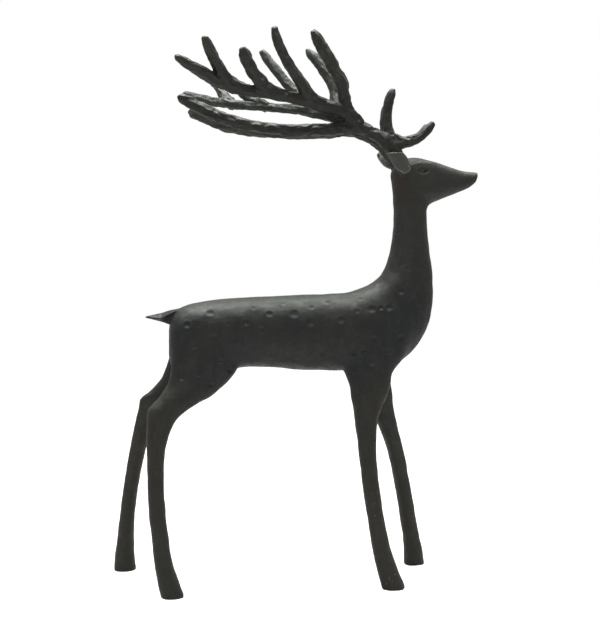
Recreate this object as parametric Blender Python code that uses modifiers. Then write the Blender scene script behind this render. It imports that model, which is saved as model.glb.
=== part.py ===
"""Cast iron stag statue: one body casting and two antler castings.

The stag faces +X, its left side is +Y, and its soles stand at z = 0.  The figure is a
free form, so its profiles are shares of its height: the tables below are in UNIT, the
height over HEIGHT_UNITS, which is one millimetre at the real size.
"""

import math

import bmesh
import bpy
from mathutils import Vector

# Driving sizes, metres
STATUE_HEIGHT = 0.470
EAR_THICKNESS = 0.0024
SEAT_GAP = 0.0003

# The figure's own unit, and the place of its box's middle in that unit
HEIGHT_UNITS = 470.0
UNIT = STATUE_HEIGHT / HEIGHT_UNITS
BOX_MIDDLE_X = -3.4

# Fineness of the solids, in UNIT where it is a length
RING_SIDES = 24
SEAT_SIDES = 16
TAIL_SIDES = 12
EAR_SIDES = 10
ROWS_BETWEEN = 4
BODY_VOXEL = 2.0
BODY_TRIANGLES = 5400
ANTLER_VOXEL = 1.0
ANTLER_TRIANGLES = 1600
TUBE_ROUNDNESS = 4
SOLE_SINK = 4.0

# How square the ovals are: ROUND is an ellipse, more is fuller at the corners
ROUND = 2.0
TORSO_SQUARENESS = 2.15
HEAD_SQUARENESS = 2.5
LEG_SQUARENESS = 2.2
TAIL_SQUARENESS = 2.4
EAR_SQUARENESS = 2.6

# Smoothing of the run-together skins, the weld of a tube's caps and the shading angle
SMOOTH_FACTOR = 0.5
EVEN_ROUNDS = 2
JOIN_ROUNDS = 30
JOIN_STRENGTH = 1.6
WELD_DISTANCE = 0.00002
SHARP_ANGLE = math.radians(45)

# Torso and neck, from rump to skull: back point x z, belly point x z, half width
TORSO = (
    (-112.9, 219, -113.2, 196, 7),
    (-111.0, 228, -111.3, 188, 16),
    (-105.6, 234.8, -106, 182.8, 22),
    (-97.5, 238.7, -98, 180.5, 25.5),
    (-86.6, 241.4, -86.6, 180, 27),
    (-72.8, 243.4, -72.8, 181.2, 27.5),
    (-58.6, 244.5, -58.6, 183.5, 27.5),
    (-44.8, 245.4, -44.8, 185.2, 27.2),
    (-30.9, 246.0, -30.9, 185.1, 27.2),
    (-17, 246.8, -17, 184.0, 27.4),
    (-3, 247.2, -3, 182.8, 27.6),
    (11, 247.9, 11, 182.0, 27.8),
    (25, 248.5, 25, 181.8, 27.8),
    (38, 249.2, 39, 181.6, 27.5),
    (49, 251.8, 53, 181.7, 27),
    (57.8, 255.1, 68, 183.5, 26),
    (65.2, 259.4, 84.0, 186.4, 24.5),
    (71.3, 265.3, 96.0, 195.4, 22.5),
    (75.4, 272.8, 105.4, 206.8, 20.3),
    (78.4, 281, 111.7, 219, 18.2),
    (80.0, 288.5, 115.4, 233, 16.5),
    (80.9, 295.6, 117.2, 250, 15),
    (81.6, 302.5, 116.4, 268, 13.8),
    (82.1, 309, 113.8, 287, 13),
    (82.3, 316, 112.2, 303, 12.6),
    (82.3, 324, 111.4, 318, 12.4),
    (81.4, 336, 111.6, 330, 12.4),
    (79.5, 349, 110.0, 347, 12),
    (79.4, 356, 106.0, 354, 10.5),
)

# Head, from skull to muzzle: crown point x z, jaw point x z, half width
HEAD = (
    (81.4, 358, 84, 344, 7),
    (85, 364.2, 88, 337, 11.5),
    (92, 367.2, 94, 332, 13.4),
    (100, 367.9, 103, 328.5, 13.9),
    (108, 367.1, 112, 327.0, 13.7),
    (116, 364.9, 119.5, 329.8, 12.8),
    (124, 362.6, 127, 332.7, 11.3),
    (134, 359.5, 137, 336.5, 9.2),
    (143, 357.1, 144.5, 339.5, 7.3),
    (150, 355.9, 150, 342.1, 5.9),
    (156.8, 355.5, 154.0, 345.2, 4.7),
    (157.8, 354.9, 155.2, 346.2, 4.2),
)

# Legs, from hip or shoulder to sole: z, middle x, half length, middle y, half width
HIND_RIGHT = (
    (206, -84.0, 25.0, -15.0, 11.0),
    (194, -83.0, 27.6, -16.5, 12.0),
    (182, -82.9, 28.2, -18.0, 12.2),
    (172, -88.5, 24.9, -19.5, 11.5),
    (162, -98.1, 22.0, -21.2, 10.6),
    (157, -105.5, 19.2, -22.2, 9.8),
    (152, -111.9, 17.1, -23.4, 9.0),
    (148, -115.4, 15.0, -24.5, 8.4),
    (143, -118.1, 12.8, -25.8, 7.9),
    (133, -120.9, 9.9, -28.0, 7.6),
    (118, -122.6, 7.8, -31.0, 7.0),
    (99, -122.8, 6.9, -34.0, 6.5),
    (79, -122.1, 6.9, -37.0, 6.5),
    (60, -120.5, 6.9, -39.4, 6.6),
    (41, -118.2, 7.0, -41.4, 6.8),
    (26, -115.8, 7.6, -42.8, 7.4),
    (12, -111.9, 8.7, -43.8, 8.5),
    (0, -108.5, 9.8, -44.0, 9.6),
)
HIND_LEFT = (
    (206, -86.0, 24.0, 15.0, 11.0),
    (194, -87.5, 26.0, 16.5, 12.0),
    (184, -91.5, 24.8, 18.0, 12.0),
    (174, -99.3, 21.5, 19.8, 11.2),
    (163, -111.7, 18.9, 22.0, 10.2),
    (158, -120.0, 17.2, 23.2, 9.6),
    (153, -125.5, 14.0, 24.6, 8.9),
    (148, -129.3, 11.4, 26.0, 8.4),
    (142, -132.3, 10.0, 27.4, 7.9),
    (131, -136.4, 8.6, 29.6, 7.5),
    (120, -139.2, 7.8, 31.6, 7.2),
    (109, -142.0, 7.1, 33.4, 6.8),
    (88, -146.4, 6.7, 36.8, 6.5),
    (65, -150.0, 6.6, 40.4, 6.5),
    (43, -152.6, 6.9, 43.6, 6.8),
    (21, -154.2, 8.0, 46.4, 7.8),
    (10, -154.6, 9.1, 47.6, 8.8),
    (0, -154.4, 9.8, 48.0, 9.6),
)
FRONT_RIGHT = (
    (206, 67.0, 24.0, -13.5, 10.0),
    (194, 64.0, 25.5, -15.0, 11.0),
    (181, 57.6, 21.7, -16.8, 11.0),
    (171, 58.7, 18.4, -18.2, 10.2),
    (161, 57.6, 15.6, -19.8, 9.4),
    (151, 55.8, 12.2, -21.3, 8.7),
    (140, 54.7, 9.9, -22.9, 8.1),
    (130, 54.6, 8.7, -24.2, 7.7),
    (115, 55.1, 7.7, -26.0, 7.2),
    (95, 56.6, 7.1, -28.2, 6.8),
    (75, 59.1, 7.1, -30.0, 6.8),
    (55, 62.2, 7.2, -31.6, 6.9),
    (36, 65.5, 7.8, -32.9, 7.4),
    (21, 69.4, 8.7, -33.6, 8.2),
    (6, 74.4, 9.5, -34.0, 9.3),
    (0, 76.0, 9.8, -34.0, 9.6),
)
FRONT_LEFT = (
    (206, 69.0, 23.0, 13.5, 10.0),
    (194, 69.2, 22.3, 15.0, 11.0),
    (181, 65.4, 16.4, 17.0, 10.8),
    (173, 68.2, 14.2, 18.3, 10.2),
    (162, 71.0, 13.3, 20.0, 9.5),
    (151, 73.4, 11.9, 21.8, 8.8),
    (140, 77.1, 10.4, 23.7, 8.2),
    (129, 82.0, 8.5, 25.6, 7.8),
    (118, 85.8, 7.9, 27.6, 7.4),
    (107, 89.3, 7.5, 29.6, 7.1),
    (85, 94.5, 7.1, 33.2, 6.8),
    (62, 99.3, 7.2, 37.0, 6.8),
    (40, 103.4, 7.3, 40.6, 7.1),
    (23, 106.7, 7.8, 43.2, 7.7),
    (11, 108.6, 8.8, 45.0, 8.7),
    (0, 109.7, 9.7, 46.0, 9.6),
)
LEGS = (HIND_RIGHT, HIND_LEFT, FRONT_RIGHT, FRONT_LEFT)

# Tail, from rump to tip: upper point x z, lower point x z, half width
TAIL = (
    (-97.0, 237.3, -104.0, 222.5, 8.0),
    (-105.5, 235.6, -113.0, 221.8, 8.6),
    (-112.5, 234.3, -116.8, 223.1, 8.0),
    (-118.5, 232.5, -120.8, 224.5, 6.6),
    (-125.5, 230.8, -126.5, 226.2, 4.2),
    (-133.2, 229.1, -133.4, 227.7, 0.9),
)

# Ears, from root to tip: one edge x y z, the other edge x y z
EARS = (
    (
        (87.7, -12.7, 353.2, 91.4, -11.8, 353.9),
        (85.5, -14.5, 353.9, 92.5, -13.5, 355.8),
        (82.9, -16.1, 355.3, 92.9, -14.9, 358.6),
        (80.1, -17.2, 358.0, 92.8, -15.9, 361.5),
        (77.4, -17.9, 360.7, 91.9, -16.6, 364.3),
        (75.1, -18.3, 363.9, 90.4, -17.2, 366.6),
        (73.3, -18.6, 366.0, 89.0, -17.6, 368.2),
        (72.4, -18.8, 367.9, 87.2, -17.9, 369.5),
        (74.4, -18.9, 369.4, 85.1, -18.2, 370.0),
    ),
    (
        (92.6, 13.4, 362.6, 89.0, 12.6, 358.9),
        (90.6, 16.0, 365.4, 85.2, 15.2, 359.4),
        (88.2, 18.2, 367.9, 81.6, 17.4, 360.5),
        (85.7, 19.8, 370.1, 78.6, 19.0, 362.1),
        (83.2, 21.2, 372.2, 76.1, 20.5, 364.0),
        (80.5, 22.6, 373.9, 74.2, 22.0, 366.6),
        (77.7, 24.6, 375.5, 72.7, 24.2, 369.6),
        (74.6, 26.6, 376.6, 71.8, 26.4, 373.4),
    ),
)
# How far the ears' edges stand out from their middles
EAR_HOLLOW = 1.4

# Antler tines of one side: x, distance from the middle plane, z, radius
TRUNK = (
    (85.3, 9.5, 364.8, 6.4),
    (81.8, 9.6, 370.8, 6.3),
    (73.4, 10.0, 380.8, 5.9),
    (61.4, 10.6, 387.7, 5.0),
    (50.2, 12.0, 392.6, 5.2),
    (42.3, 13.4, 400.5, 5.9),
)
TOP_TINE = (
    (44.4, 13.4, 398.2, 5.9),
    (38.6, 15.8, 408.2, 5.7),
    (36.4, 18.4, 417.9, 5.2),
    (34.6, 20.8, 427.2, 5.1),
    (29.7, 23.2, 435.4, 5.3),
    (23.2, 26.2, 445.8, 5.5),
    (16.1, 29.5, 456.2, 5.1),
    (10.9, 32.0, 464.4, 4.3),
    (8.4, 33.0, 468.2, 2.8),
)
UPPER_BEAM = (
    (50.0, 12.3, 393.2, 6.0),
    (41.2, 13.6, 402.4, 6.4),
    (28.2, 15.4, 406.4, 6.3),
    (16.3, 18.2, 409.0, 5.9),
    (4.4, 22.0, 412.0, 5.4),
    (-7.2, 25.6, 413.6, 4.9),
    (-19.9, 29.0, 415.0, 4.6),
    (-32.5, 32.0, 416.6, 4.7),
    (-45.0, 33.6, 417.6, 4.7),
    (-56.0, 36.4, 418.9, 5.0),
    (-65.9, 41.8, 421.4, 5.1),
    (-75.6, 50.0, 423.7, 5.0),
    (-83.7, 56.2, 427.2, 4.8),
    (-92.6, 63.0, 430.6, 4.3),
    (-100.2, 69.0, 433.9, 3.6),
    (-104.2, 72.4, 435.8, 2.6),
)
SECOND_TINE = (
    (9.4, 21.2, 410.8, 5.8),
    (1.2, 27.0, 422.0, 5.4),
    (-5.7, 31.5, 430.9, 4.6),
    (-12.2, 35.0, 439.3, 4.4),
    (-18.8, 39.0, 450.2, 4.3),
    (-23.3, 42.0, 460.2, 4.1),
    (-25.0, 43.4, 467.7, 2.8),
)
THIRD_TINE = (
    (-26.5, 31.4, 415.5, 5.2),
    (-34.0, 34.8, 422.4, 5.8),
    (-40.3, 40.0, 428.8, 5.2),
    (-45.7, 47.2, 436.0, 4.9),
    (-49.4, 54.0, 442.2, 4.8),
    (-51.8, 58.0, 446.2, 3.2),
)
FOURTH_TINE = (
    (-56.6, 37.4, 418.4, 5.0),
    (-62.4, 41.5, 421.4, 5.9),
    (-68.5, 48.5, 428.2, 5.2),
    (-74.3, 57.5, 437.2, 4.4),
    (-78.7, 66.0, 444.5, 4.1),
    (-82.3, 72.0, 451.2, 3.0),
)
LOWER_BEAM = (
    (60.0, 10.8, 388.5, 5.2),
    (49.0, 11.4, 392.1, 5.5),
    (38.5, 11.2, 391.8, 5.5),
    (28.8, 10.6, 390.2, 5.1),
    (14.6, 10.2, 389.4, 5.1),
    (0.4, 10.4, 389.0, 4.9),
    (-9.2, 11.0, 388.6, 4.7),
    (-23.3, 12.2, 389.5, 4.7),
    (-37.2, 13.8, 390.6, 4.5),
    (-50.0, 15.8, 392.7, 4.7),
    (-65.0, 18.4, 396.1, 5.1),
    (-76.1, 20.2, 399.9, 5.0),
    (-86.4, 22.0, 404.5, 4.9),
    (-95.6, 24.6, 408.9, 4.7),
    (-101.5, 26.4, 411.6, 3.8),
    (-104.0, 27.0, 412.6, 2.4),
)
UPRIGHT_TINE = (
    (77.0, 9.8, 376.6, 6.0),
    (77.6, 9.0, 383.6, 5.6),
    (75.6, 8.6, 392.6, 4.4),
    (75.1, 8.6, 403.7, 4.1),
    (76.5, 9.1, 413.9, 4.1),
    (78.6, 9.8, 420.9, 3.8),
    (80.0, 10.0, 424.8, 2.5),
)
BROW_TINE = (
    (78.0, 9.9, 376.6, 6.0),
    (85.0, 9.7, 378.9, 5.4),
    (91.8, 9.5, 380.6, 4.4),
    (100.2, 9.6, 382.8, 4.2),
    (106.3, 10.0, 386.7, 3.9),
    (111.4, 10.8, 391.8, 3.6),
    (114.9, 11.4, 396.2, 2.6),
)
TINES = {
    "trunk": TRUNK,
    "upper_beam": UPPER_BEAM,
    "lower_beam": LOWER_BEAM,
    "top_tine": TOP_TINE,
    "second_tine": SECOND_TINE,
    "third_tine": THIRD_TINE,
    "fourth_tine": FOURTH_TINE,
    "upright_tine": UPRIGHT_TINE,
    "brow_tine": BROW_TINE,
}
# Webs that fill the corners at the tine bases of the right antler
RIGHT_WEBS = (
    (
        (20.0, 17.5, 409.5, 5.2),
        (10.5, 22.5, 413.4, 4.9),
        (4.0, 26.0, 418.6, 4.8),
    ),
    (
        (-14.0, 29.0, 415.0, 4.7),
        (-24.0, 32.0, 417.8, 4.7),
        (-31.5, 34.0, 421.0, 5.0),
    ),
    (
        (-42.0, 33.6, 417.3, 4.7),
        (-53.0, 37.4, 419.6, 4.6),
        (-62.0, 43.0, 423.6, 4.6),
    ),
    (
        (77.3, 9.2, 386.5, 4.4),
        (80.4, 9.5, 383.2, 4.8),
        (87.0, 9.6, 380.6, 4.4),
    ),
)
# The left antler mirrors the right one, with a straighter top tine of its own
LEFT_TOP_TINE = (
    (41.5, 13.2, 399.0, 5.4),
    (36.0, 16.4, 409.0, 5.9),
    (33.7, 19.4, 419.0, 5.2),
    (33.0, 22.4, 429.0, 4.7),
    (29.8, 24.8, 439.0, 4.8),
    (24.0, 27.2, 449.2, 4.9),
    (17.4, 29.8, 459.2, 4.8),
    (12.2, 31.6, 465.6, 4.0),
    (9.4, 32.4, 469.0, 2.2),
)
# Its other tines stand off by this much: middle x z, tip x z, share of the girth
LEFT_CHANGES = {
    "trunk": (0.0, 0.0, 0.0, 0.0, 1.0),
    "upper_beam": (0.0, 0.3, 2.5, -1.2, 0.84),
    "lower_beam": (0.0, 0.9, 8.0, -3.2, 0.93),
    "second_tine": (3.2, 0.5, -6.0, 1.5, 1.05),
    "third_tine": (-4.0, -1.0, -3.5, -3.0, 0.88),
    "fourth_tine": (4.0, 0.0, 4.0, -2.0, 0.86),
    "upright_tine": (0.0, 0.0, 0.0, -9.0, 0.9),
    "brow_tine": (0.0, 0.0, -1.0, 1.6, 0.9),
}
SEAT_DEPTH = 13.0
FOOT_HEIGHT = 8.0

# Where the limbs and the head run into the trunk: x, y, z, radius of the softening
SOFTENED = (
    (-75, -20, 182, 30),
    (-78, 20, 182, 30),
    (-60, 0, 180, 20),
    (60, -18, 182, 28),
    (66, 18, 182, 26),
    (88, 0, 190, 26),
    (42, 0, 182, 16),
    (108, 0, 326, 16),
    (86, 0, 346, 16),
)

# Finish: base colour, roughness, metallic
BODY_FINISH = ((0.016, 0.020, 0.018), 0.52, 0.55)
ANTLER_FINISH = ((0.017, 0.018, 0.021), 0.34, 0.70)


def figure_point(x, y, z):
    """Return a point of the figure's tables as metres from the frame's origin."""
    return Vector((x - BOX_MIDDLE_X, y, z)) * UNIT


def between_rows(rows, steps):
    """Return the rows with steps - 1 smoothly placed rows between each pair."""
    filled = []
    last = len(rows) - 1
    for index in range(last):
        before = rows[max(index - 1, 0)]
        start = rows[index]
        end = rows[index + 1]
        after = rows[min(index + 2, last)]
        for step in range(steps):
            t = step / steps
            row = []
            for a, b, c, d in zip(before, start, end, after):
                bend = (2 * a - 5 * b + 4 * c - d) * t * t + (3 * b - a - 3 * c + d) * t ** 3
                row.append(b + 0.5 * ((c - a) * t + bend))
            filled.append(tuple(row))
    filled.append(tuple(rows[last]))
    return filled


def oval(middle, up, across, squareness=ROUND, sides=RING_SIDES):
    """Return the points of an oval around middle, with half axes up and across."""
    points = []
    power = ROUND / squareness
    for side in range(sides):
        angle = math.tau * side / sides
        rise = math.copysign(abs(math.sin(angle)) ** power, math.sin(angle))
        reach = math.copysign(abs(math.cos(angle)) ** power, math.cos(angle))
        points.append(middle + up * rise + across * reach)
    return points


def profile_rings(rows, squareness, steps=ROWS_BETWEEN, sides=RING_SIDES):
    """Return rings across the middle plane from rows of two profile points."""
    rings = []
    for x_top, z_top, x_low, z_low, half_width in between_rows(rows, steps):
        top = figure_point(x_top, 0, z_top)
        low = figure_point(x_low, 0, z_low)
        across = Vector((0, half_width * UNIT, 0))
        rings.append(oval((top + low) / 2, (top - low) / 2, across, squareness, sides))
    return rings


def leg_rings(rows):
    """Return the level rings of one leg, run on below the sole for a clean cut."""
    rings = []
    for z, x, half_length, y, half_width in between_rows(rows, ROWS_BETWEEN):
        middle = figure_point(x, y, z)
        along = Vector((half_length * UNIT, 0, 0))
        across = Vector((0, half_width * UNIT, 0))
        rings.append(oval(middle, along, across, LEG_SQUARENESS))
    sunk = Vector((0, 0, -SOLE_SINK * UNIT))
    rings.append([point + sunk for point in rings[-1]])
    return rings


def ear_rings(rows):
    """Return the rings of one ear, a thin leaf hollowed towards its outer side."""
    edges = [(figure_point(*row[:3]), figure_point(*row[3:])) for row in rows]
    middles = [(first + second) / 2 for first, second in edges]
    widest = max((second - first).length for first, second in edges) / 2
    last = len(edges) - 1
    rings = []
    for index, (middle, (first, second)) in enumerate(zip(middles, edges)):
        half = (second - first) / 2
        onward = middles[min(index + 1, last)] - middles[max(index - 1, 0)]
        normal = half.cross(onward).normalized()
        if normal.y * middle.y < 0:
            normal.negate()
        width_way = half.normalized()
        bent = []
        for point in oval(middle, normal * (EAR_THICKNESS / 2), half, EAR_SQUARENESS, EAR_SIDES):
            reach = (point - middle).dot(width_way) / widest
            bent.append(point + normal * (EAR_HOLLOW * UNIT * reach * reach))
        rings.append(bent)
    return rings


def add_loft(bm, rings):
    """Add one closed body through the rings to bm."""
    loops = [[bm.verts.new(point) for point in ring] for ring in rings]
    faces = []
    for lower, upper in zip(loops, loops[1:]):
        for side in range(len(lower)):
            after = (side + 1) % len(lower)
            faces.append(bm.faces.new((lower[side], lower[after], upper[after], upper[side])))
    faces.append(bm.faces.new(loops[0][::-1]))
    faces.append(bm.faces.new(loops[-1]))
    bmesh.ops.recalc_face_normals(bm, faces=faces)


def add_object(name, mesh, collection, parent=None):
    """Add a named object for the mesh to the collection."""
    thing = bpy.data.objects.new(name, mesh)
    collection.objects.link(thing)
    thing.parent = parent
    return thing


def add_cutter(name, rings, collection):
    """Add a wire object with one body for each list of rings, for use in Booleans."""
    bm = bmesh.new()
    for body_rings in rings:
        add_loft(bm, body_rings)
    mesh = bpy.data.meshes.new(name)
    bm.to_mesh(mesh)
    bm.free()
    cutter = add_object(name, mesh, collection)
    cutter.hide_render = True
    cutter.display_type = "WIRE"
    return cutter


def evaluated_mesh(thing):
    """Return a new mesh of the object as its modifiers or its bevel leave it."""
    bpy.context.view_layer.update()
    graph = bpy.context.evaluated_depsgraph_get()
    return bpy.data.meshes.new_from_object(thing.evaluated_get(graph))


def bake_modifiers(thing):
    """Replace the object's mesh with its evaluated one and clear its modifiers."""
    mesh = evaluated_mesh(thing)
    old = thing.data
    thing.modifiers.clear()
    thing.data = mesh
    bpy.data.meshes.remove(old)


def run_together(thing, voxel):
    """Turn the object's overlapping bodies into one even skin."""
    remesh = thing.modifiers.new("Run together", "REMESH")
    remesh.mode = "VOXEL"
    remesh.voxel_size = voxel * UNIT
    bake_modifiers(thing)


def even_out(thing):
    """Add a light smoothing of the whole mesh."""
    smooth = thing.modifiers.new("Even out", "SMOOTH")
    smooth.factor = SMOOTH_FACTOR
    smooth.iterations = round(EVEN_ROUNDS)


def thin_out(thing, triangles):
    """Bring the mesh down to about so many triangles."""
    bake_modifiers(thing)
    thing.data.calc_loop_triangles()
    decimate = thing.modifiers.new("Fewer faces", "DECIMATE")
    decimate.ratio = triangles / len(thing.data.loop_triangles)
    decimate.use_collapse_triangulate = True
    bake_modifiers(thing)


def boolean(thing, other, operation):
    """Add a Boolean with another object to this one."""
    modifier = thing.modifiers.new(operation.capitalize(), "BOOLEAN")
    modifier.operation = operation
    modifier.object = other


def finish_material(name, finish):
    """Return a plain material with the finish's colour, roughness and metallic."""
    colour, roughness, metallic = finish
    material = bpy.data.materials.new(name)
    material.use_nodes = True
    shader = material.node_tree.nodes["Principled BSDF"]
    shader.inputs["Base Color"].default_value = (*colour, 1)
    shader.inputs["Roughness"].default_value = roughness
    shader.inputs["Metallic"].default_value = metallic
    material.diffuse_color = (*colour, 1)
    return material


def shade_round(thing):
    """Shade the object smooth, with its sharp edges kept."""
    thing.data.shade_smooth()
    thing.data.set_sharp_from_angle(angle=SHARP_ANGLE)


def soften_joins(thing):
    """Smooth the mesh where limbs and head run into the trunk."""
    group = thing.vertex_groups.new(name="softened")
    places = [(figure_point(x, y, z), radius * UNIT) for x, y, z, radius in SOFTENED]
    for vertex in thing.data.vertices:
        weight = 0.0
        for middle, radius in places:
            near = 1 - (vertex.co - middle).length / radius
            if near > weight:
                weight = near
        if weight > 0:
            group.add([vertex.index], min(1.0, JOIN_STRENGTH * weight), "REPLACE")
    smooth = thing.modifiers.new("Soften joins", "SMOOTH")
    smooth.factor = SMOOTH_FACTOR
    smooth.iterations = round(JOIN_ROUNDS)
    smooth.vertex_group = group.name


def make_body(parts, cutters, parent):
    """Make the casting of torso, neck, head, ears, tail and legs."""
    bm = bmesh.new()
    add_loft(bm, profile_rings(TORSO, TORSO_SQUARENESS))
    add_loft(bm, profile_rings(HEAD, HEAD_SQUARENESS))
    for rows in LEGS:
        add_loft(bm, leg_rings(rows))
    mesh = bpy.data.meshes.new("body")
    bm.to_mesh(mesh)
    bm.free()
    body = add_object("body", mesh, parts, parent)

    run_together(body, BODY_VOXEL)
    soften_joins(body)
    even_out(body)
    thin_out(body, BODY_TRIANGLES)

    floor = add_cutter("floor_cutter", [floor_rings()], cutters)
    boolean(body, floor, "DIFFERENCE")
    tail_rings = profile_rings(TAIL, TAIL_SQUARENESS, 1, TAIL_SIDES)
    tail = add_cutter("tail_form", [tail_rings], cutters)
    boolean(body, tail, "UNION")
    for number, ear in enumerate(EARS):
        boolean(body, add_cutter(f"ear_form_{number + 1}", [ear_rings(ear)], cutters), "UNION")
    for number, side in enumerate((-1, 1)):
        seat = add_cutter(f"seat_form_{number + 1}", [seat_rings(side)], cutters)
        boolean(body, seat, "UNION")
    bake_modifiers(body)
    shade_round(body)
    body.data.materials.append(finish_material("satin_black_iron", BODY_FINISH))
    return body


def floor_rings():
    """Return a slab's rings that take away all that the legs have below the floor."""
    half = STATUE_HEIGHT
    corners = [Vector((x * half, y * half, 0)) for x, y in ((-1, -1), (1, -1), (1, 1), (-1, 1))]
    drop = Vector((0, 0, -STATUE_HEIGHT / 4))
    return [[corner + drop for corner in corners], corners]


def trunk_axis(side):
    """Return the antler's seat on the skull and the way its trunk leaves it."""
    first, second = TRUNK[0], TRUNK[1]
    seat = figure_point(first[0], side * first[1], first[2])
    onward = figure_point(second[0], side * second[1], second[2])
    return seat, (onward - seat).normalized()


def round_plug(start, away, length):
    """Return the rings of a round plug of the trunk's girth from start along away."""
    radius = TRUNK[0][3] * UNIT
    across = away.orthogonal().normalized() * radius
    up = away.cross(across)
    ends = (start, start + away * length)
    return [oval(end, up, across, sides=SEAT_SIDES) for end in ends]


def seat_rings(side):
    """Return the short stub on the skull whose flat top carries the antler."""
    seat, away = trunk_axis(side)
    depth = SEAT_DEPTH * UNIT
    return round_plug(seat - away * depth, away, depth)


def foot_rings(side):
    """Return the antler's own flat foot, a seam's gap above the stub."""
    seat, away = trunk_axis(side)
    return round_plug(seat + away * SEAT_GAP, away, FOOT_HEIGHT * UNIT)


def tine_rows(name, side):
    """Return one tine's rows for this side, with the left antler's own differences."""
    rows = LEFT_TOP_TINE if side > 0 and name == "top_tine" else TINES[name]
    if side < 0 or name == "top_tine":
        return [(x, side * reach, z, radius) for x, reach, z, radius in rows]
    middle_x, middle_z, tip_x, tip_z, girth = LEFT_CHANGES[name]
    changed = []
    for index, (x, reach, z, radius) in enumerate(rows):
        t = index / (len(rows) - 1)
        hump = 4 * t * (1 - t)
        x_changed = x + middle_x * hump + tip_x * t * t
        z_changed = z + middle_z * hump + tip_z * t * t
        changed.append((x_changed, reach, z_changed, radius * girth))
    return changed


def antler_rows(side):
    """Return the rows of every tube of one antler; the trunk starts above its foot."""
    tubes = [tine_rows("trunk", side)[1:]]
    tubes += [tine_rows(name, side) for name in TINES if name != "trunk"]
    if side < 0:
        for web in RIGHT_WEBS:
            tubes.append([(x, side * reach, z, radius) for x, reach, z, radius in web])
    return tubes


def tine_tubes(name, side, collection):
    """Return a mesh with one closed round tapered tube for each tine of an antler."""
    curve = bpy.data.curves.new(name, "CURVE")
    curve.dimensions = "3D"
    curve.bevel_depth = UNIT
    curve.bevel_resolution = TUBE_ROUNDNESS
    curve.use_fill_caps = True
    for rows in antler_rows(side):
        spline = curve.splines.new("POLY")
        spline.points.add(len(rows) - 1)
        for point, (x, y, z, radius) in zip(spline.points, rows):
            point.co = (*figure_point(x, y, z), 1)
            point.radius = radius
    guide = add_object(name, curve, collection)
    mesh = evaluated_mesh(guide)
    bpy.data.objects.remove(guide)
    bm = bmesh.new()
    bm.from_mesh(mesh)
    bmesh.ops.remove_doubles(bm, verts=bm.verts, dist=WELD_DISTANCE)
    bmesh.ops.recalc_face_normals(bm, faces=bm.faces)
    bm.to_mesh(mesh)
    bm.free()
    mesh.materials.clear()
    return mesh


def make_antler(name, side, parts, cutters, parent):
    """Make one antler casting, its tines run into trunk and beams."""
    antler = add_object(name, tine_tubes(name, side, cutters), parts, parent)
    run_together(antler, ANTLER_VOXEL)
    even_out(antler)
    thin_out(antler, ANTLER_TRIANGLES)
    foot = add_cutter(f"{name}_foot", [foot_rings(side)], cutters)
    boolean(antler, foot, "UNION")
    bake_modifiers(antler)
    shade_round(antler)
    antler.data.materials.append(finish_material(f"{name}_iron", ANTLER_FINISH))
    return antler


def main():
    """Build the statue."""
    for thing in list(bpy.data.objects):
        bpy.data.objects.remove(thing)
    parts = bpy.data.collections.new("stag_statue")
    cutters = bpy.data.collections.new("cutters")
    bpy.context.scene.collection.children.link(parts)
    bpy.context.scene.collection.children.link(cutters)
    frame = bpy.data.objects.new("stag_frame", None)
    parts.objects.link(frame)
    make_body(parts, cutters, frame)
    make_antler("antler_right", -1, parts, cutters, frame)
    make_antler("antler_left", 1, parts, cutters, frame)


main()
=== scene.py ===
"""Cast iron stag statue: its finished castings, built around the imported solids.

The body and both antlers are shaped from the same profile tables as the solids, but fine
enough to show the dents, the eyes, the ear rims and the ridges of the tines.  The tables
are in millimetres of a figure 470.4 mm tall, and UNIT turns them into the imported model's
metres.  The stag faces +X, its left side is +Y, and its soles stand at z = 0.
"""

import math
import random

import bmesh
import bpy
import numpy as np
from bpy.props import FloatProperty, FloatVectorProperty, IntProperty, PointerProperty
from bpy.types import Operator, Panel, PropertyGroup
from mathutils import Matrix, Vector


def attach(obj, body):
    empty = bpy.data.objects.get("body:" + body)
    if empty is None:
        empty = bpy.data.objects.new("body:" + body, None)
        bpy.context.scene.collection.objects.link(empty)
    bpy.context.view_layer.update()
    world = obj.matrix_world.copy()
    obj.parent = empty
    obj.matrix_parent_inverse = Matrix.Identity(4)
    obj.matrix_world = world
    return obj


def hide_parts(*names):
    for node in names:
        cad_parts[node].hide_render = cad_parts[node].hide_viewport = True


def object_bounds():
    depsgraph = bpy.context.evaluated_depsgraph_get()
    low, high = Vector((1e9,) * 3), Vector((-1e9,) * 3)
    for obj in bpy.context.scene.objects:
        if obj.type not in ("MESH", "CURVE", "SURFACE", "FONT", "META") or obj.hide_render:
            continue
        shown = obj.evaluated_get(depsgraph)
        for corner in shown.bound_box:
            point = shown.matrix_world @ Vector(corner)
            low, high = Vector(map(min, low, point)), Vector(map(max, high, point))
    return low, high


bl_info = {
    "name": "Cast Iron Stag Statue",
    "version": (1, 0, 0),
    "blender": (4, 5, 0),
    "location": "3D View > Sidebar > Stag",
    "description": "Builds the stag's castings, their finishes and a plain studio",
    "category": "Object",
}

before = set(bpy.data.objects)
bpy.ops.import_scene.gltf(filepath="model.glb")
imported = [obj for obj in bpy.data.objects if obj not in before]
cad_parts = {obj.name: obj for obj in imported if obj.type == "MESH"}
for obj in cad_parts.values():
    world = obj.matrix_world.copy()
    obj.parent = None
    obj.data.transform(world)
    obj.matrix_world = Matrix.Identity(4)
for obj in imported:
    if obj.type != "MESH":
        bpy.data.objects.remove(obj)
SOLIDS_LOW, SOLIDS_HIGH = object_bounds()

# The figure's own unit, and the place of its box's middle in that unit
HEIGHT_UNITS = 470.4
UNIT = (SOLIDS_HIGH.z - SOLIDS_LOW.z) / HEIGHT_UNITS
BOX_MIDDLE_X = -3.4

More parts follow.
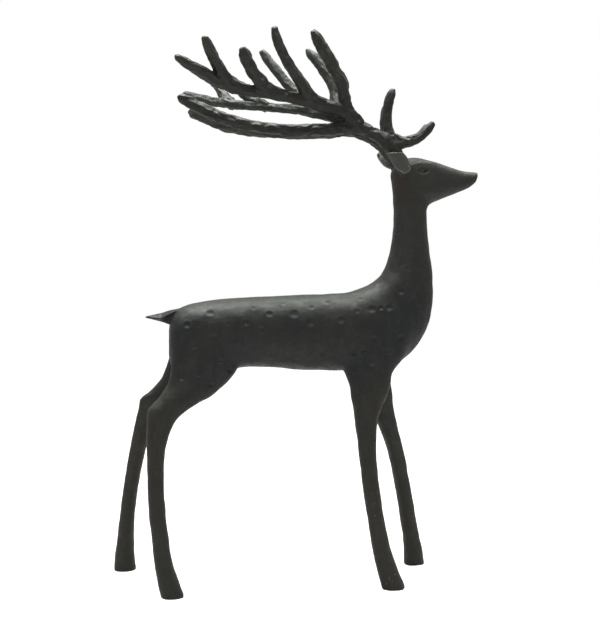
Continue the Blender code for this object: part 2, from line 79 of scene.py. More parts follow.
# How the photograph was taken: its frame and focal length in pixels, the height of its
# horizon line, and the camera's distance, height and turn round the figure
PHOTO_WIDTH = 600
PHOTO_HEIGHT = 624
PHOTO_FOCAL = 1050.0
PHOTO_HORIZON = 300.0
CAMERA_DISTANCE = 0.913
CAMERA_HEIGHT = 0.243
CAMERA_TURN = math.radians(5.0)
SENSOR_MM = 36.0

# Torso and neck, from rump to skull: back point x z, belly point x z, half width
TORSO = (
    (-112.9, 219, -113.2, 196, 7),
    (-111.0, 228, -111.3, 188, 16),
    (-105.6, 234.8, -106, 182.8, 22),
    (-97.5, 238.7, -98, 180.5, 25.5),
    (-86.6, 241.4, -86.6, 180, 27),
    (-72.8, 243.4, -72.8, 181.2, 27.5),
    (-58.6, 244.5, -58.6, 183.5, 27.5),
    (-44.8, 245.4, -44.8, 185.2, 27.2),
    (-30.9, 246.0, -30.9, 185.1, 27.2),
    (-17, 246.8, -17, 184.0, 27.4),
    (-3, 247.2, -3, 182.8, 27.6),
    (11, 247.9, 11, 182.0, 27.8),
    (25, 248.5, 25, 181.8, 27.8),
    (38, 249.2, 39, 181.6, 27.5),
    (49, 251.8, 53, 181.7, 27),
    (57.8, 255.1, 68, 183.5, 26),
    (65.2, 259.4, 84.0, 186.4, 24.5),
    (71.3, 265.3, 96.0, 195.4, 22.5),
    (75.4, 272.8, 105.4, 206.8, 20.3),
    (78.4, 281, 111.7, 219, 18.2),
    (80.0, 288.5, 115.4, 233, 16.5),
    (80.9, 295.6, 117.2, 250, 15),
    (81.6, 302.5, 116.4, 268, 13.8),
    (82.1, 309, 113.8, 287, 13),
    (82.3, 316, 112.2, 303, 12.6),
    (82.3, 324, 111.4, 318, 12.4),
    (81.4, 336, 111.6, 330, 12.4),
    (79.5, 349, 110.0, 347, 12),
    (79.4, 356, 106.0, 354, 10.5),
)

# Head, from skull to muzzle: crown point x z, jaw point x z, half width
HEAD = (
    (81.4, 358, 84, 344, 7),
    (85, 364.2, 88, 337, 11.5),
    (92, 367.2, 94, 332, 13.4),
    (100, 367.9, 103, 328.5, 13.9),
    (108, 367.1, 112, 327.0, 13.7),
    (116, 364.9, 119.5, 329.8, 12.8),
    (124, 362.6, 127, 332.7, 11.3),
    (134, 359.5, 137, 336.5, 9.2),
    (143, 357.1, 144.5, 339.5, 7.3),
    (150, 355.9, 150, 342.1, 5.9),
    (156.8, 355.5, 154.0, 345.2, 4.7),
    (157.8, 354.9, 155.2, 346.2, 4.2),
)

# Legs, from hip or shoulder to sole: z, middle x, half length, middle y, half width
HIND_RIGHT = (
    (206, -84.0, 25.0, -15.0, 11.0),
    (194, -83.0, 27.6, -16.5, 12.0),
    (182, -82.9, 28.2, -18.0, 12.2),
    (172, -88.5, 24.9, -19.5, 11.5),
    (162, -98.1, 22.0, -21.2, 10.6),
    (157, -105.5, 19.2, -22.2, 9.8),
    (152, -111.9, 17.1, -23.4, 9.0),
    (148, -115.4, 15.0, -24.5, 8.4),
    (143, -118.1, 12.8, -25.8, 7.9),
    (133, -120.9, 9.9, -28.0, 7.6),
    (118, -122.6, 7.8, -31.0, 7.0),
    (99, -122.8, 6.9, -34.0, 6.5),
    (79, -122.1, 6.9, -37.0, 6.5),
    (60, -120.5, 6.9, -39.4, 6.6),
    (41, -118.2, 7.0, -41.4, 6.8),
    (26, -115.8, 7.6, -42.8, 7.4),
    (12, -111.9, 8.7, -43.8, 8.5),
    (0, -108.5, 9.8, -44.0, 9.6),
)
HIND_LEFT = (
    (206, -86.0, 24.0, 15.0, 11.0),
    (194, -87.5, 26.0, 16.5, 12.0),
    (184, -91.5, 24.8, 18.0, 12.0),
    (174, -99.3, 21.5, 19.8, 11.2),
    (163, -111.7, 18.9, 22.0, 10.2),
    (158, -120.0, 17.2, 23.2, 9.6),
    (153, -125.5, 14.0, 24.6, 8.9),
    (148, -129.3, 11.4, 26.0, 8.4),
    (142, -132.3, 10.0, 27.4, 7.9),
    (131, -136.4, 8.6, 29.6, 7.5),
    (120, -139.2, 7.8, 31.6, 7.2),
    (109, -142.0, 7.1, 33.4, 6.8),
    (88, -146.4, 6.7, 36.8, 6.5),
    (65, -150.0, 6.6, 40.4, 6.5),
    (43, -152.6, 6.9, 43.6, 6.8),
    (21, -154.2, 8.0, 46.4, 7.8),
    (10, -154.6, 9.1, 47.6, 8.8),
    (0, -154.4, 9.8, 48.0, 9.6),
)
FRONT_RIGHT = (
    (206, 67.0, 24.0, -13.5, 10.0),
    (194, 64.0, 25.5, -15.0, 11.0),
    (181, 57.6, 21.7, -16.8, 11.0),
    (171, 58.7, 18.4, -18.2, 10.2),
    (161, 57.6, 15.6, -19.8, 9.4),
    (151, 55.8, 12.2, -21.3, 8.7),
    (140, 54.7, 9.9, -22.9, 8.1),
    (130, 54.6, 8.7, -24.2, 7.7),
    (115, 55.1, 7.7, -26.0, 7.2),
    (95, 56.6, 7.1, -28.2, 6.8),
    (75, 59.1, 7.1, -30.0, 6.8),
    (55, 62.2, 7.2, -31.6, 6.9),
    (36, 65.5, 7.8, -32.9, 7.4),
    (21, 69.4, 8.7, -33.6, 8.2),
    (6, 74.4, 9.5, -34.0, 9.3),
    (0, 76.0, 9.8, -34.0, 9.6),
)
FRONT_LEFT = (
    (206, 69.0, 23.0, 13.5, 10.0),
    (194, 69.2, 22.3, 15.0, 11.0),
    (181, 65.4, 16.4, 17.0, 10.8),
    (173, 68.2, 14.2, 18.3, 10.2),
    (162, 71.0, 13.3, 20.0, 9.5),
    (151, 73.4, 11.9, 21.8, 8.8),
    (140, 77.1, 10.4, 23.7, 8.2),
    (129, 82.0, 8.5, 25.6, 7.8),
    (118, 85.8, 7.9, 27.6, 7.4),
    (107, 89.3, 7.5, 29.6, 7.1),
    (85, 94.5, 7.1, 33.2, 6.8),
    (62, 99.3, 7.2, 37.0, 6.8),
    (40, 103.4, 7.3, 40.6, 7.1),
    (23, 106.7, 7.8, 43.2, 7.7),
    (11, 108.6, 8.8, 45.0, 8.7),
    (0, 109.7, 9.7, 46.0, 9.6),
)
LEGS = (HIND_RIGHT, HIND_LEFT, FRONT_RIGHT, FRONT_LEFT)

# Tail, from rump to tip: upper point x z, lower point x z, half width
TAIL = (
    (-97.0, 237.3, -104.0, 222.5, 8.0),
    (-105.5, 235.6, -113.0, 221.8, 8.6),
    (-112.5, 234.3, -116.8, 223.1, 8.0),
    (-118.5, 232.5, -120.8, 224.5, 6.6),
    (-125.5, 230.8, -126.5, 226.2, 4.2),
    (-133.2, 229.1, -133.4, 227.7, 0.9),
)

# Ears, from root to tip: one edge x y z, the other edge x y z
EARS = (
    (
        (87.7, -12.7, 353.2, 91.4, -11.8, 353.9),
        (85.5, -14.5, 353.9, 92.5, -13.5, 355.8),
        (82.9, -16.1, 355.3, 92.9, -14.9, 358.6),
        (80.1, -17.2, 358.0, 92.8, -15.9, 361.5),
        (77.4, -17.9, 360.7, 91.9, -16.6, 364.3),
        (75.1, -18.3, 363.9, 90.4, -17.2, 366.6),
        (73.3, -18.6, 366.0, 89.0, -17.6, 368.2),
        (72.4, -18.8, 367.9, 87.2, -17.9, 369.5),
        (74.4, -18.9, 369.4, 85.1, -18.2, 370.0),
    ),
    (
        (92.6, 13.4, 362.6, 89.0, 12.6, 358.9),
        (90.6, 16.0, 365.4, 85.2, 15.2, 359.4),
        (88.2, 18.2, 367.9, 81.6, 17.4, 360.5),
        (85.7, 19.8, 370.1, 78.6, 19.0, 362.1),
        (83.2, 21.2, 372.2, 76.1, 20.5, 364.0),
        (80.5, 22.6, 373.9, 74.2, 22.0, 366.6),
        (77.7, 24.6, 375.5, 72.7, 24.2, 369.6),
        (74.6, 26.6, 376.6, 71.8, 26.4, 373.4),
    ),
)
# How far the ears' edges stand out from their middles
EAR_HOLLOW = 1.4
# Share of an ear's length over which its root is rounded
EAR_ROOT_SHARE = 0.3
# Shares of an ear's length over which its dished face fades out, at the root and at the tip
DISH_FADES = (0.3, 0.09)

# Antler tines of one side: x, distance from the middle plane, z, radius
TRUNK = (
    (85.3, 9.5, 364.8, 6.4),
    (81.8, 9.6, 370.8, 6.3),
    (73.4, 10.0, 380.8, 5.9),
    (61.4, 10.6, 387.7, 5.0),
    (50.2, 12.0, 392.6, 5.2),
    (42.3, 13.4, 400.5, 5.9),
)
TOP_TINE = (
    (44.4, 13.4, 398.2, 5.9),
    (38.6, 15.8, 408.2, 5.7),
    (36.4, 18.4, 417.9, 5.2),
    (34.6, 20.8, 427.2, 5.1),
    (29.7, 23.2, 435.4, 5.3),
    (23.2, 26.2, 445.8, 5.5),
    (16.1, 29.5, 456.2, 5.1),
    (10.9, 32.0, 464.4, 4.3),
    (8.4, 33.0, 468.2, 2.8),
)
UPPER_BEAM = (
    (50.0, 12.3, 393.2, 6.0),
    (41.2, 13.6, 402.4, 6.4),
    (28.2, 15.4, 406.4, 6.3),
    (16.3, 18.2, 409.0, 5.9),
    (4.4, 22.0, 412.0, 5.4),
    (-7.2, 25.6, 413.6, 4.9),
    (-19.9, 29.0, 415.0, 4.6),
    (-32.5, 32.0, 416.6, 4.7),
    (-45.0, 33.6, 417.6, 4.7),
    (-56.0, 36.4, 418.9, 5.0),
    (-65.9, 41.8, 421.4, 5.1),
    (-75.6, 50.0, 423.7, 5.0),
    (-83.7, 56.2, 427.2, 4.8),
    (-92.6, 63.0, 430.6, 4.3),
    (-100.2, 69.0, 433.9, 3.6),
    (-104.2, 72.4, 435.8, 2.6),
)
SECOND_TINE = (
    (9.4, 21.2, 410.8, 5.8),
    (1.2, 27.0, 422.0, 5.4),
    (-5.7, 31.5, 430.9, 4.6),
    (-12.2, 35.0, 439.3, 4.4),
    (-18.8, 39.0, 450.2, 4.3),
    (-23.3, 42.0, 460.2, 4.1),
    (-25.0, 43.4, 467.7, 2.8),
)
THIRD_TINE = (
    (-26.5, 31.4, 415.5, 5.2),
    (-34.0, 34.8, 422.4, 5.8),
    (-40.3, 40.0, 428.8, 5.2),
    (-45.7, 47.2, 436.0, 4.9),
    (-49.4, 54.0, 442.2, 4.8),
    (-51.8, 58.0, 446.2, 3.2),
)
FOURTH_TINE = (
    (-56.6, 37.4, 418.4, 5.0),
    (-62.4, 41.5, 421.4, 5.9),
    (-68.5, 48.5, 428.2, 5.2),
    (-74.3, 57.5, 437.2, 4.4),
    (-78.7, 66.0, 444.5, 4.1),
    (-82.3, 72.0, 451.2, 3.0),
)
LOWER_BEAM = (
    (60.0, 10.8, 388.5, 5.2),
    (49.0, 11.4, 392.1, 5.5),
    (38.5, 11.2, 391.8, 5.5),
    (28.8, 10.6, 390.2, 5.1),
    (14.6, 10.2, 389.4, 5.1),
    (0.4, 10.4, 389.0, 4.9),
    (-9.2, 11.0, 388.6, 4.7),
    (-23.3, 12.2, 389.5, 4.7),
    (-37.2, 13.8, 390.6, 4.5),
    (-50.0, 15.8, 392.7, 4.7),
    (-65.0, 18.4, 396.1, 5.1),
    (-76.1, 20.2, 399.9, 5.0),
    (-86.4, 22.0, 404.5, 4.9),
    (-95.6, 24.6, 408.9, 4.7),
    (-101.5, 26.4, 411.6, 3.8),
    (-104.0, 27.0, 412.6, 2.4),
)
UPRIGHT_TINE = (
    (77.0, 9.8, 376.6, 6.0),
    (77.6, 9.0, 383.6, 5.6),
    (75.6, 8.6, 392.6, 4.4),
    (75.1, 8.6, 403.7, 4.1),
    (76.5, 9.1, 413.9, 4.1),
    (78.6, 9.8, 420.9, 3.8),
    (80.0, 10.0, 424.8, 2.5),
)
BROW_TINE = (
    (78.0, 9.9, 376.6, 6.0),
    (85.0, 9.7, 378.9, 5.4),
    (91.8, 9.5, 380.6, 4.4),
    (100.2, 9.6, 382.8, 4.2),
    (106.3, 10.0, 386.7, 3.9),
    (111.4, 10.8, 391.8, 3.6),
    (114.9, 11.4, 396.2, 2.6),
)
TINES = {
    "trunk": TRUNK,
    "upper_beam": UPPER_BEAM,
    "lower_beam": LOWER_BEAM,
    "top_tine": TOP_TINE,
    "second_tine": SECOND_TINE,
    "third_tine": THIRD_TINE,
    "fourth_tine": FOURTH_TINE,
    "upright_tine": UPRIGHT_TINE,
    "brow_tine": BROW_TINE,
}
# Webs that fill the corners at the tine bases of the right antler
RIGHT_WEBS = (
    (
        (20.0, 17.5, 409.5, 5.2),
        (10.5, 22.5, 413.4, 4.9),
        (4.0, 26.0, 418.6, 4.8),
    ),
    (
        (-14.0, 29.0, 415.0, 4.7),
        (-24.0, 32.0, 417.8, 4.7),
        (-31.5, 34.0, 421.0, 5.0),
    ),
    (
        (-42.0, 33.6, 417.3, 4.7),
        (-53.0, 37.4, 419.6, 4.6),
        (-62.0, 43.0, 423.6, 4.6),
    ),
    (
        (77.3, 9.2, 386.5, 4.4),
        (80.4, 9.5, 383.2, 4.8),
        (87.0, 9.6, 380.6, 4.4),
    ),
)
# The left antler mirrors the right one, with a straighter top tine of its own
LEFT_TOP_TINE = (
    (41.5, 13.2, 399.0, 5.4),
    (36.0, 16.4, 409.0, 5.9),
    (33.7, 19.4, 419.0, 5.2),
    (33.0, 22.4, 429.0, 4.7),
    (29.8, 24.8, 439.0, 4.8),
    (24.0, 27.2, 449.2, 4.9),
    (17.4, 29.8, 459.2, 4.8),
    (12.2, 31.6, 465.6, 4.0),
    (9.4, 32.4, 469.0, 2.2),
)
# Its other tines stand off by this much: middle x z, tip x z, share of the girth
LEFT_CHANGES = {
    "trunk": (0.0, 0.0, 0.0, 0.0, 1.0),
    "upper_beam": (0.0, 0.3, 2.5, -1.2, 0.84),
    "lower_beam": (0.0, 0.9, 8.0, -3.2, 0.93),
    "second_tine": (3.2, 0.5, -6.0, 1.5, 1.05),
    "third_tine": (-4.0, -1.0, -3.5, -3.0, 0.88),
    "fourth_tine": (4.0, 0.0, 4.0, -2.0, 0.86),
    "upright_tine": (0.0, 0.0, 0.0, -9.0, 0.9),
    "brow_tine": (0.0, 0.0, -1.0, 1.6, 0.9),
}
SEAT_DEPTH = 13.0
FOOT_HEIGHT = 8.0
SEAT_GAP = 0.3

# Where the limbs and the head run into the trunk: x, y, z, radius of the softening
SOFTENED = (
    (-57, -20, 181, 24),
    (-57, 20, 181, 24),
    (40, -18, 181, 22),
    (42, 18, 181, 22),
    (-75, -20, 182, 30),
    (-78, 20, 182, 30),
    (-60, 0, 180, 20),
    (60, -18, 182, 28),
    (66, 18, 182, 26),
    (88, 0, 190, 26),
    (42, 0, 182, 16),
    (108, 0, 326, 16),
    (86, 0, 346, 16),
)
# Where the surface itself is smoothed once more, over haunches and shoulders
SOFTENED_AGAIN = (
    (-60, -26, 192, 26),
    (-60, 26, 192, 26),
    (-98, -24, 196, 20),
    (-98, 24, 196, 20),
    (46, -26, 192, 24),
    (50, 26, 192, 24),
    (78, -22, 198, 22),
    (82, 22, 198, 20),
)
# Where the flank is drawn smoothly over haunches, shoulders and jaw
SMOOTHED_SIDES = (
    (-62, -26, 196, 34),
    (-62, 26, 196, 34),
    (-88, -24, 202, 32),
    (-88, 24, 202, 32),
    (44, -26, 196, 32),
    (46, 26, 196, 32),
    (74, -24, 204, 32),
    (78, 24, 204, 32),
    (94, -13, 338, 18),
    (94, 13, 338, 18),
)

# How square the ovals are: 2 is an ellipse, more is fuller at the corners
TORSO_SQUARENESS = 2.15
BACK_SQUARENESS = 2.3
BACK_TO_NECK = (247, 262)
BROW_SQUARENESS = (3.8, 3.8, 3.8, 3.8, 3.6, 3.2, 2.8, 2.4, 2.2, 2.1, 2.1, 2.1)
JAW_SQUARENESS = 2.5
LEG_SQUARENESS = 2.2
TAIL_TOP_SQUARENESS = 1.25
TAIL_HOLLOW_SQUARENESS = 0.95
EAR_SQUARENESS = 3.4

# How far the brow's edge lies below the crown at each of the head's rows, and how the
# forehead bends up from it
BROW_DROPS = (6.0, 8.0, 8.2, 5.8, 3.7, 2.3, 1.2, 0.5, 0.0, 0.0, 0.0, 0.0)
BROW_BEND = 1.35

# Fineness of the lofts
BODY_SIDES = 96
LEG_SIDES = 64
EAR_SIDES = 40
TINE_SIDES = 48
ROWS_BETWEEN = 8
EAR_ROWS_BETWEEN = 6
TINE_ROWS_BETWEEN = 24
TINE_STEP = 0.8
FEWEST_TINE_RINGS = 8
PLUG_RINGS = 6
FIRST_VOXEL = 1.3

# How the skins are smoothed: rounds over joins, flanks and the whole, and each round's share
JOIN_ROUNDS = 100
SIDE_ROUNDS = 260
SKIN_ROUNDS = 2
ROUND_SHARE = 0.5
# How soon a softened region reaches its full weight, and the steps that its weight is kept in
JOIN_STRENGTH = 1.6
WEIGHT_STEPS = 20
# How much of its end is drawn in when a casting reaches past the solids' box, in metres
DRAWN_LENGTH = 0.02
# Height below which the skin belongs to a sole and is set flat on the ground
SOLE_SNAP = 0.25

# Long waves of the body's skin and short ones: share of its unevenness and length in metres
SKIN_WAVES = ((0.10, 0.016), (0.015, 0.006))
WAVE_COUNT = 14
WAVE_SPREAD = (0.7, 1.5)

# Starts of the random draws
SKIN_SEED = 5
DENT_SEED = 11
ANTLER_SEEDS = {"antler_right": 21, "antler_left": 34}

# Lines that wander along a tine: their waves, the spread of these and what evens them out
WANDER_WAVES = 3
WANDER_SPREAD = (0.7, 1.6)
WANDER_SCALE = 1.6
# A way that no tine runs, for the first of its rings
FIRST_ACROSS = (0.3, 1.0, 0.2)

# The facets of a tine: how many it may have, how flat they are and how much they stand out
FACET_COUNTS = (5, 6, 6, 7)
RIDGE_MEAN = 0.75
RIDGE_GAIN = 1.35
# Its lobes, rounded swellings to one, two and three sides, as a share of the radius
LOBES = (1, 2, 3)
LOBE_DEPTH = 0.022
# How these drift along the tine: strength and wavelength
FACET_TURN = (0.55, 38.0)
RIDGE_DRIFT = (0.35, 17.0)
GIRTH_DRIFT = (0.030, 12.0)
LOBE_TURN = (0.8, 26.0)
LOBE_DRIFT = (0.8, 15.0)
# What the ridges take from the girth is given back
GIRTH_KEPT = 1.03

# The scoops of a tine, each as least and most: place of the first, way to the next, half
# length, half width in radians, and share of the full depth
FIRST_SCOOP = (2, 5)
SCOOP_STEP = (1.6, 3.4)
SCOOP_HALF_LENGTH = (1.6, 4.2)
SCOOP_HALF_WIDTH = (0.35, 0.62)
SCOOP_SHARE = (0.5, 1.0)

# A tine's blunt tip: depth of its cleft in tip radii, and for each closing ring how far on it
# lies, in tip radii, and its share of the girth
TIP_CLEFT = 0.22
TIP_RINGS = ((0.22, 0.86), (0.42, 0.62), (0.52, 0.30))

# Share of the tail's height at which its side edge runs, at each of its rows
TAIL_EDGE = (0.95, 0.88, 0.62, 0.30, 0.18, 0.40)

# Dents seen on the flank, in the photograph's pixels, and how wide each is there
DENTS_SEEN = (
    (210, 313, 5.0),
    (269.5, 314, 4.8),
    (294, 314, 6.0),
    (246, 323, 4.5),
    (262, 329, 4.5),
    (283, 330.5, 4.5),
    (310.5, 323, 6.0),
    (341, 320, 5.2),
    (372, 309, 5.6),
    (381, 308, 3.6),
    (389, 308, 4.6),
    (401, 291.5, 4.8),
    (214, 337, 5.6),
    (194, 346, 5.2),
    (182, 378, 4.6),
    (220, 361, 4.6),
    (230.5, 370.5, 4.6),
    (271.5, 355, 5.0),
    (296, 361, 5.0),
    (323, 355, 4.6),
    (364, 351, 4.4),
    (374, 339, 5.0),
    (389.5, 352, 5.2),
    (401, 338, 5.4),
    (372, 363, 4.4),
    (354, 353, 4.4),
    (211, 385, 4.4),
    (328, 302, 4.6),
    (187, 325, 5.0),
)

# A dent's form: how it is stretched, how far its rim is felt in its radii, and the rim's
# height as a share of the depth and place and softness in radii
DENT_STRETCH = (1.0, 1.0, 1.12)
DENT_REACH = 1.5
RIM_HEIGHT = 0.11
RIM_PLACE = 1.08
RIM_SOFTNESS = 0.16
# A seen dent's radius out to its soft edge, as a share of the width that is seen
SOFT_EDGE_SHARE = 0.86
# Its share of the full depth on an upright face, and how much less it is on a level one
SIDE_DEPTH_SHARE = 1.2
TOP_DEPTH_LOSS = 0.6

# Dents of the far side lie off the places of the seen ones by up to this much: x, z
FAR_DENT_SHIFT = (9, 6)
# The others are tried at random round an axis that rises from the trunk into the neck: tries,
# reach in x and z, the trunk's axis height and where the neck's begins, all but the first in
# the figure's unit
DENT_TRIES = 2600
DENTED_X = (-104, 104)
DENTED_Z = (186, 300)
TRUNK_AXIS_Z = 236
NECK_AXIS_X = 60
# Where a try starts from and how far off the axis it may land, and the least way between
# two dents, in metres
TRY_DISTANCE = 0.2
TRY_REACH = 0.045
DENT_SPACING = 0.0125
# Their shares of the full depth on the near and the far side, and their radii
NEAR_DEPTH_SHARES = (0.25, 0.7)
FAR_DEPTH_SHARES = (0.35, 0.9)
OTHER_DENT_RADII = (2.0, 2.9)

# The eye, in the photograph's pixels: middle, half length, half height, and its pupil
EYE_MIDDLE = (423.0, 171.2)
EYE_HALF_LENGTH = 6.4
EYE_HALF_HEIGHT = 3.3
PUPIL_MIDDLE = (426.6, 170.4)
PUPIL_RADIUS = 1.7
# Depths of the eye's hollow and its pupil, and heights of the ball in it and of the lid's rim
EYE_DEPTH = 0.62
PUPIL_DEPTH = 0.4
BALL_HEIGHT = 0.42
LID_RIM_HEIGHT = 0.10
# Places in the almond, where its edge is 0 and its middle 1: foot of the hollow's wall, edge
# of the ball, and how far outside the lid's rim runs, its softness and its half length
WALL_FOOT = 0.35
BALL_EDGE = 0.25
LID_RIM_PLACE = 0.22
LID_RIM_SOFTNESS = 0.16
LID_RIM_END = 1.1
# How far from the eye's middle its carving ends, in its half lengths and half heights
EYE_REACH = 2.2
# A cheek lies at least so far from the middle plane, in metres, and faces outwards so much
CHEEK_OFFSET = 0.004
CHEEK_FACING = 0.3

# What the finishes of the body and of the antlers are called
FINISH_NAMES = ("satin_body_iron", "ridged_antler_iron")

# Tints of the studio's surroundings and of its softbox
WARM_WHITE = (1.0, 0.985, 0.93)
GREEN_WHITE = (0.965, 1.0, 0.94)

# Corners of the hocks, in the photograph's pixels, how far round them the skin is drawn out
# and how softly, in pixels too, and how far at the corner
HOCKS_SEEN = ((146.6, 410.0), (141.2, 400.2))
HOCK_REACH = 12
HOCK_SOFTNESS = 3.2
HOCK_DRAW = 1.0
# A hock lies at least so far from the middle plane, in metres, and faces no more forwards
HOCK_OFFSET = 0.008
HOCK_FACING = 0.1

# How rough every noise is, and for the casting's skin the detail of its noises, the values
# that are spread over 0 to 1, and the shares of lumps and of grain in its height
NOISE_ROUGHNESS = 0.6
SKIN_DETAIL = 3.0
SKIN_VALUES = (0.3, 0.7)
LUMP_SHARE = 0.6
GRAIN_SHARE = 0.4
# The noise that breaks the dust and painted top light: scale, detail, least share and the values it runs
# between
DUST_AND_LIGHT_SCALE = 90.0
DUST_AND_LIGHT_DETAIL = 4.0
LEAST_DUST_AND_LIGHT = 0.55
DUST_AND_LIGHT_VALUES = (0.3, 0.65)

# Heights in metres between which the body's colour runs from brown into green, and on into
# the grey of neck and head, and the shares of brown at the first two
BROWN_TO_GREEN = (0.13, 0.21)
GREEN_TO_GREY = (0.23, 0.34)
BROWN_SHARES = (0.9, 0.1)
# How strongly the blotches shift that border, and their middle value
BLOTCH_STRENGTH = 0.8
BLOTCH_MIDDLE = 0.5
# The streaks: how their cells are stretched, their scale, detail, strength and the noise's
# values at which they start and are full
STREAK_STRETCH = (1.0, 1.0, 0.4)
STREAK_SCALE = 120.0
STREAK_DETAIL = 4.0
STREAK_STRENGTH = 0.28
STREAK_VALUES = (0.42, 0.72)
# Share of the dust and painted top light that the body shows, and how much less head and tail show
DUST_AND_LIGHT_SHARE = 0.6
HEAD_AND_TAIL_LOSS = 0.5
# Round spots of the body that are finished in their own way: middle, radius, softness
# The tail's spot shows less of the dust and painted top light
TAIL_SPOT = ((-115.0, 0.0, 231.0), 10.0, 6.0)
NAPE_SPOT = ((83.0, -12.0, 340.0), 5.0, 12.0)
# The ears' spot carries painted light
EAR_SPOT = ((83.0, 18.0, 362.5), 13.0, 2.0)
# The pupils' spot carries painted shade
PUPIL_SHADE_SPOT = ((108.0, 13.3, 354.2), 1.1, 0.9)
SHANK_SPOT = ((70.0, -36.0, 40.0), 26.0, 24.0)
NAPE_STRENGTH = 0.5
# Distances from the middle plane between which the ears' painted light begins, and how much of the
# normal points sideways where their edges get painted highlights and where they don't
EARS_FROM = (13.9, 14.7)
EDGE_HIGHLIGHT_FACING = (0.5, 0.97)
# The paint specks: scale of their cells, edge of a speck in its cell, and the cells that have
# none, as a share
SPECK_SCALE = 360.0
SPECK_EDGE = (0.08, 0.16)
SPECKLESS_SHARE = 0.55
# Gloss of the body's skin, and strength and depth of its bumps
BODY_ROUGHNESS = (0.42, 0.56)
BODY_SPECULAR = 0.5
BODY_BUMP = (0.35, 0.0004)

# The antlers turn browner between these heights in metres, up to this share, and in blotches
ANTLER_BROWN_FROM = (0.395, 0.44)
ANTLER_BROWN_SHARE = 0.6
ANTLER_BLOTCH_STRENGTH = 0.5
# Share of the dust and painted top light that they show, and the share of painted light that their
# inner faces show, with the sideways parts of the normal at which it is full and gone
ANTLER_DUST_AND_LIGHT_SHARE = 0.5
INNER_LIGHT_SHARE = 0.7
INNER_FACING = (-0.75, -0.05)
# The noise that breaks that painted light: scale, detail, least share and the values it runs between
INNER_LIGHT_SCALE = 55.0
INNER_LIGHT_DETAIL = 3.0
LEAST_INNER_LIGHT = 0.45
INNER_LIGHT_VALUES = (0.35, 0.6)
ANTLER_ROUGHNESS = (0.38, 0.50)
ANTLER_SPECULAR = 0.4
ANTLER_BUMP = (0.3, 0.00025)

# The studio: where the surroundings' light runs from front to back, the overhead softbox's
# place, aim and size in metres, and the floor's grey, roughness, radius and sides
FRONT_TO_BACK = (-0.3, 0.4)
SOFTBOX_PLACE = (0.0, 0.03, 1.45)
SOFTBOX_AIM = (0.0, 0.0, 0.2)
SOFTBOX_SIZE = (1.3, 0.9)
FLOOR_GREY = (0.5, 0.5, 0.5)
FLOOR_ROUGHNESS = 0.9
FLOOR_RADIUS = 6.0
FLOOR_SIDES = 64
WHITE = (1.0, 1.0, 1.0, 1.0)


def figure_points(points):
    """Return table points x y z as metres from the frame's origin."""
    return (np.asarray(points, float) - (BOX_MIDDLE_X, 0.0, 0.0)) * UNIT


def camera_place():
    """Return the camera's place and its unit vectors: forwards, right and up."""
    forwards = np.array((math.sin(CAMERA_TURN), math.cos(CAMERA_TURN), 0.0))
    right = np.array((math.cos(CAMERA_TURN), -math.sin(CAMERA_TURN), 0.0))
    aim = np.array((-BOX_MIDDLE_X * UNIT, 0.0, CAMERA_HEIGHT))
    return aim - forwards * CAMERA_DISTANCE, forwards, right, np.array((0.0, 0.0, 1.0))


def photo_pixels(points):
    """Return where the photograph shows the points, as an array of pixels u v."""
    eye, forwards, right, up = camera_place()
    away = points - eye
    depth = away @ forwards
    u = PHOTO_WIDTH / 2 + PHOTO_FOCAL * (away @ right) / depth
    v = PHOTO_HORIZON - PHOTO_FOCAL * (away @ up) / depth
    return np.stack((u, v), axis=1)


def photo_ray(u, v):
    """Return the start and the direction of the sight line through a pixel."""
    eye, forwards, right, up = camera_place()
    way = forwards * PHOTO_FOCAL + right * (u - PHOTO_WIDTH / 2) + up * (PHOTO_HORIZON - v)
    return Vector(eye), Vector(way).normalized()


def between_rows(rows, steps):
    """Return the rows with steps - 1 smoothly placed rows between each pair."""
    rows = np.asarray(rows, float)
    before = np.vstack((rows[:1], rows[:-2]))[:, None, :]
    start = rows[:-1][:, None, :]
    end = rows[1:][:, None, :]
    after = np.vstack((rows[2:], rows[-1:]))[:, None, :]
    t = (np.arange(steps) / steps)[None, :, None]
    bend = (2 * before - 5 * start + 4 * end - after) * t ** 2
    bend = bend + (3 * start - before - 3 * end + after) * t ** 3
    filled = start + 0.5 * ((end - before) * t + bend)
    return np.vstack((filled.reshape(-1, rows.shape[1]), rows[-1:]))


def turns(sides):
    """Return the angles of the corners of a ring."""
    return np.arange(sides) * math.tau / sides


def rounded(values, squareness):
    """Return sines or cosines bent so that the oval's corners are as square as asked."""
    return np.sign(values) * np.abs(values) ** (2.0 / squareness)


def along_rows(values, count):
    """Return one value for each of count rows from one number or a few along them."""
    values = np.atleast_1d(np.asarray(values, float))
    return np.interp(np.linspace(0, len(values) - 1, count), np.arange(len(values)), values)


def profile_rings(rows, sides, upper, lower, edge=0.5, brow=0.0):
    """Return rings across the middle plane from rows of two profile points.

    upper and lower say how square the oval's two halves are, edge is the share of the
    height at which it is widest, and brow is how far below the top an edge runs over
    which the oval is cut to a low roof.  Each is one number or a few along the rows.
    """
    rows = np.asarray(rows, float)
    settings = [along_rows(values, len(rows)) for values in (upper, lower, edge, brow)]
    angles = turns(sides)
    rings = []
    for row, over, under, share, drop in zip(rows, *settings):
        x_top, z_top, x_low, z_low, half_width = row
        top = np.array((x_top, 0.0, z_top))
        low = np.array((x_low, 0.0, z_low))
        squareness = np.where(np.sin(angles) > 0, over, under)
        rise = rounded(np.sin(angles), squareness)
        reach = rounded(np.cos(angles), squareness)
        height = share + np.where(rise > 0, 1.0 - share, share) * rise
        if drop > 0:
            cut = drop / np.linalg.norm(top - low)
            reach_cut = (1 - (1 - cut / (1 - share)) ** over) ** (1 / over)
            roof = (rise > 0) & (np.abs(reach) < reach_cut)
            height[roof] = 1 - cut * (np.abs(reach[roof]) / reach_cut) ** BROW_BEND
        ring = low + height[:, None] * (top - low)
        ring[:, 1] = reach * half_width
        rings.append(figure_points(ring))
    return np.array(rings)


